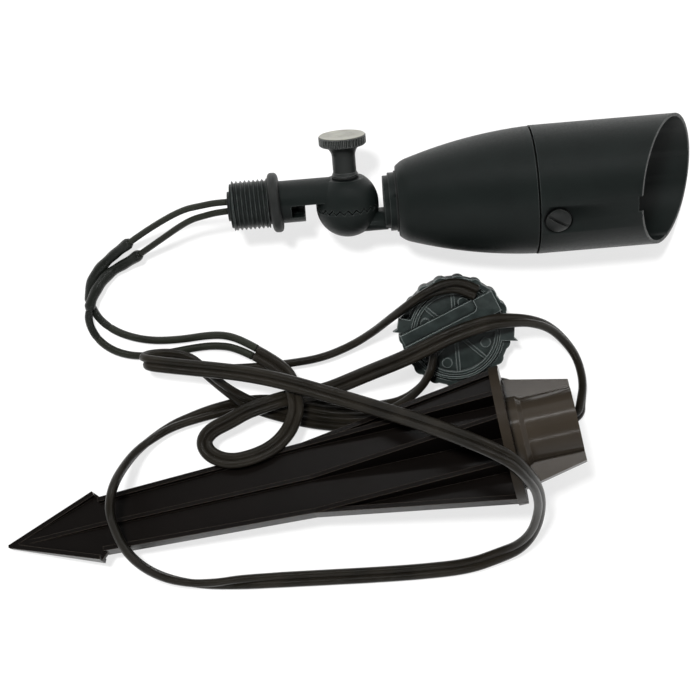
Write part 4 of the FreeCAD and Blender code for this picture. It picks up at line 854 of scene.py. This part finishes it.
def make_room():
    """The studio round the table: it lights softly, and shows white behind it."""
    world = bpy.data.worlds.new("studio")
    world.use_nodes = True
    tree = world.node_tree
    tree.nodes.clear()
    path = add(tree, "ShaderNodeLightPath")
    seen = background_seen(tree, path)
    strength = add(tree, "ShaderNodeMix", {"Factor": seen, "A": ROOM_LIGHT, "B": ROOM_SEEN},
                   data_type="FLOAT")
    up = add(tree, "ShaderNodeSeparateXYZ", {"Vector": add(tree, "ShaderNodeTexCoord").outputs["Generated"]})
    room = ramp(tree, up.outputs["Z"], WALLS_TO, CEILING_FROM, WALLS, CEILING)
    sky = add(tree, "ShaderNodeBackground", {"Color": room, "Strength": strength.outputs["Result"]})
    out = add(tree, "ShaderNodeOutputWorld")
    tree.links.new(sky.outputs["Background"], out.inputs["Surface"])
    bpy.context.scene.world = world


def make_camera(look):
    """The photo's view, straight down."""
    data = bpy.data.cameras.new("camera")
    data.sensor_width = 36.0
    data.lens = look.lens
    data.clip_start = 0.01
    camera = link("camera", data)
    camera.location = CAMERA_AT
    bpy.context.scene.camera = camera


# ---------------------------------------------------------------- operators
class SPOTLIGHT_OT_finishes(bpy.types.Operator):
    """Give each rigid piece its finish"""
    bl_idname = "spotlight.finishes"
    bl_label = "Finishes"

    def execute(self, context):
        make_materials()
        for finish, nodes in NODE_FINISH.items():
            for node in nodes:
                dress(node, M[finish])
        return {"FINISHED"}


class SPOTLIGHT_OT_lamp_detail(bpy.types.Operator):
    """Make the nipple's thread, the rubber ring, the dark knuckle seam and the shroud's notch"""
    bl_idname = "spotlight.lamp_detail"
    bl_label = "Lamp detail"

    def execute(self, context):
        make_arm()
        make_head_knuckle()
        make_thread()
        make_o_ring()
        make_shroud()
        return {"FINISHED"}


class SPOTLIGHT_OT_cords(bpy.types.Operator):
    """Make the two fixture leads, the flat two-core cord and its tail"""
    bl_idname = "spotlight.cords"
    bl_label = "Cords"

    def execute(self, context):
        make_lead("a", LEAD_A_ROUTE)
        make_lead("b", LEAD_B_ROUTE)
        make_flat_cord("flat_cord", "lead_cord", CORD_ROUTE)
        make_flat_cord("flat_cord_tail", "lead_tail", TAIL_ROUTE)
        return {"FINISHED"}


class SPOTLIGHT_OT_stage(bpy.types.Operator):
    """Set up the floor, the soft studio light and the camera"""
    bl_idname = "spotlight.stage"
    bl_label = "Stage"

    def execute(self, context):
        look = context.scene.stage_look
        make_table(look)
        make_lights()
        make_room()
        make_camera(look)
        context.scene.view_settings.view_transform = "Standard"
        return {"FINISHED"}


class SPOTLIGHT_PT_panel(bpy.types.Panel):
    """Lists what can be made, and the colours and sizes that a user may change"""
    bl_idname = "SPOTLIGHT_PT_panel"
    bl_label = "Garden Spotlight"
    bl_space_type = "VIEW_3D"
    bl_region_type = "UI"
    bl_category = "Spotlight"

    def draw(self, context):
        for operator in OPERATORS:
            self.layout.operator(operator.bl_idname)
        for name, group in SETTINGS.items():
            settings = getattr(context.scene, name)
            for prop in group.__annotations__:
                self.layout.prop(settings, prop)


OPERATORS = (SPOTLIGHT_OT_finishes, SPOTLIGHT_OT_lamp_detail, SPOTLIGHT_OT_cords, SPOTLIGHT_OT_stage)
CLASSES = tuple(SETTINGS.values()) + OPERATORS + (SPOTLIGHT_PT_panel,)


def register():
    for cls in CLASSES:
        bpy.utils.register_class(cls)
    for name, group in SETTINGS.items():
        setattr(bpy.types.Scene, name, bpy.props.PointerProperty(type=group))


def unregister():
    for name in SETTINGS:
        delattr(bpy.types.Scene, name)
    for cls in reversed(CLASSES):
        bpy.utils.unregister_class(cls)


def main():
    register()
    for operator in OPERATORS:
        group, call = operator.bl_idname.split(".")
        getattr(getattr(bpy.ops, group), call)()


if __name__ == "__main__":
    main()
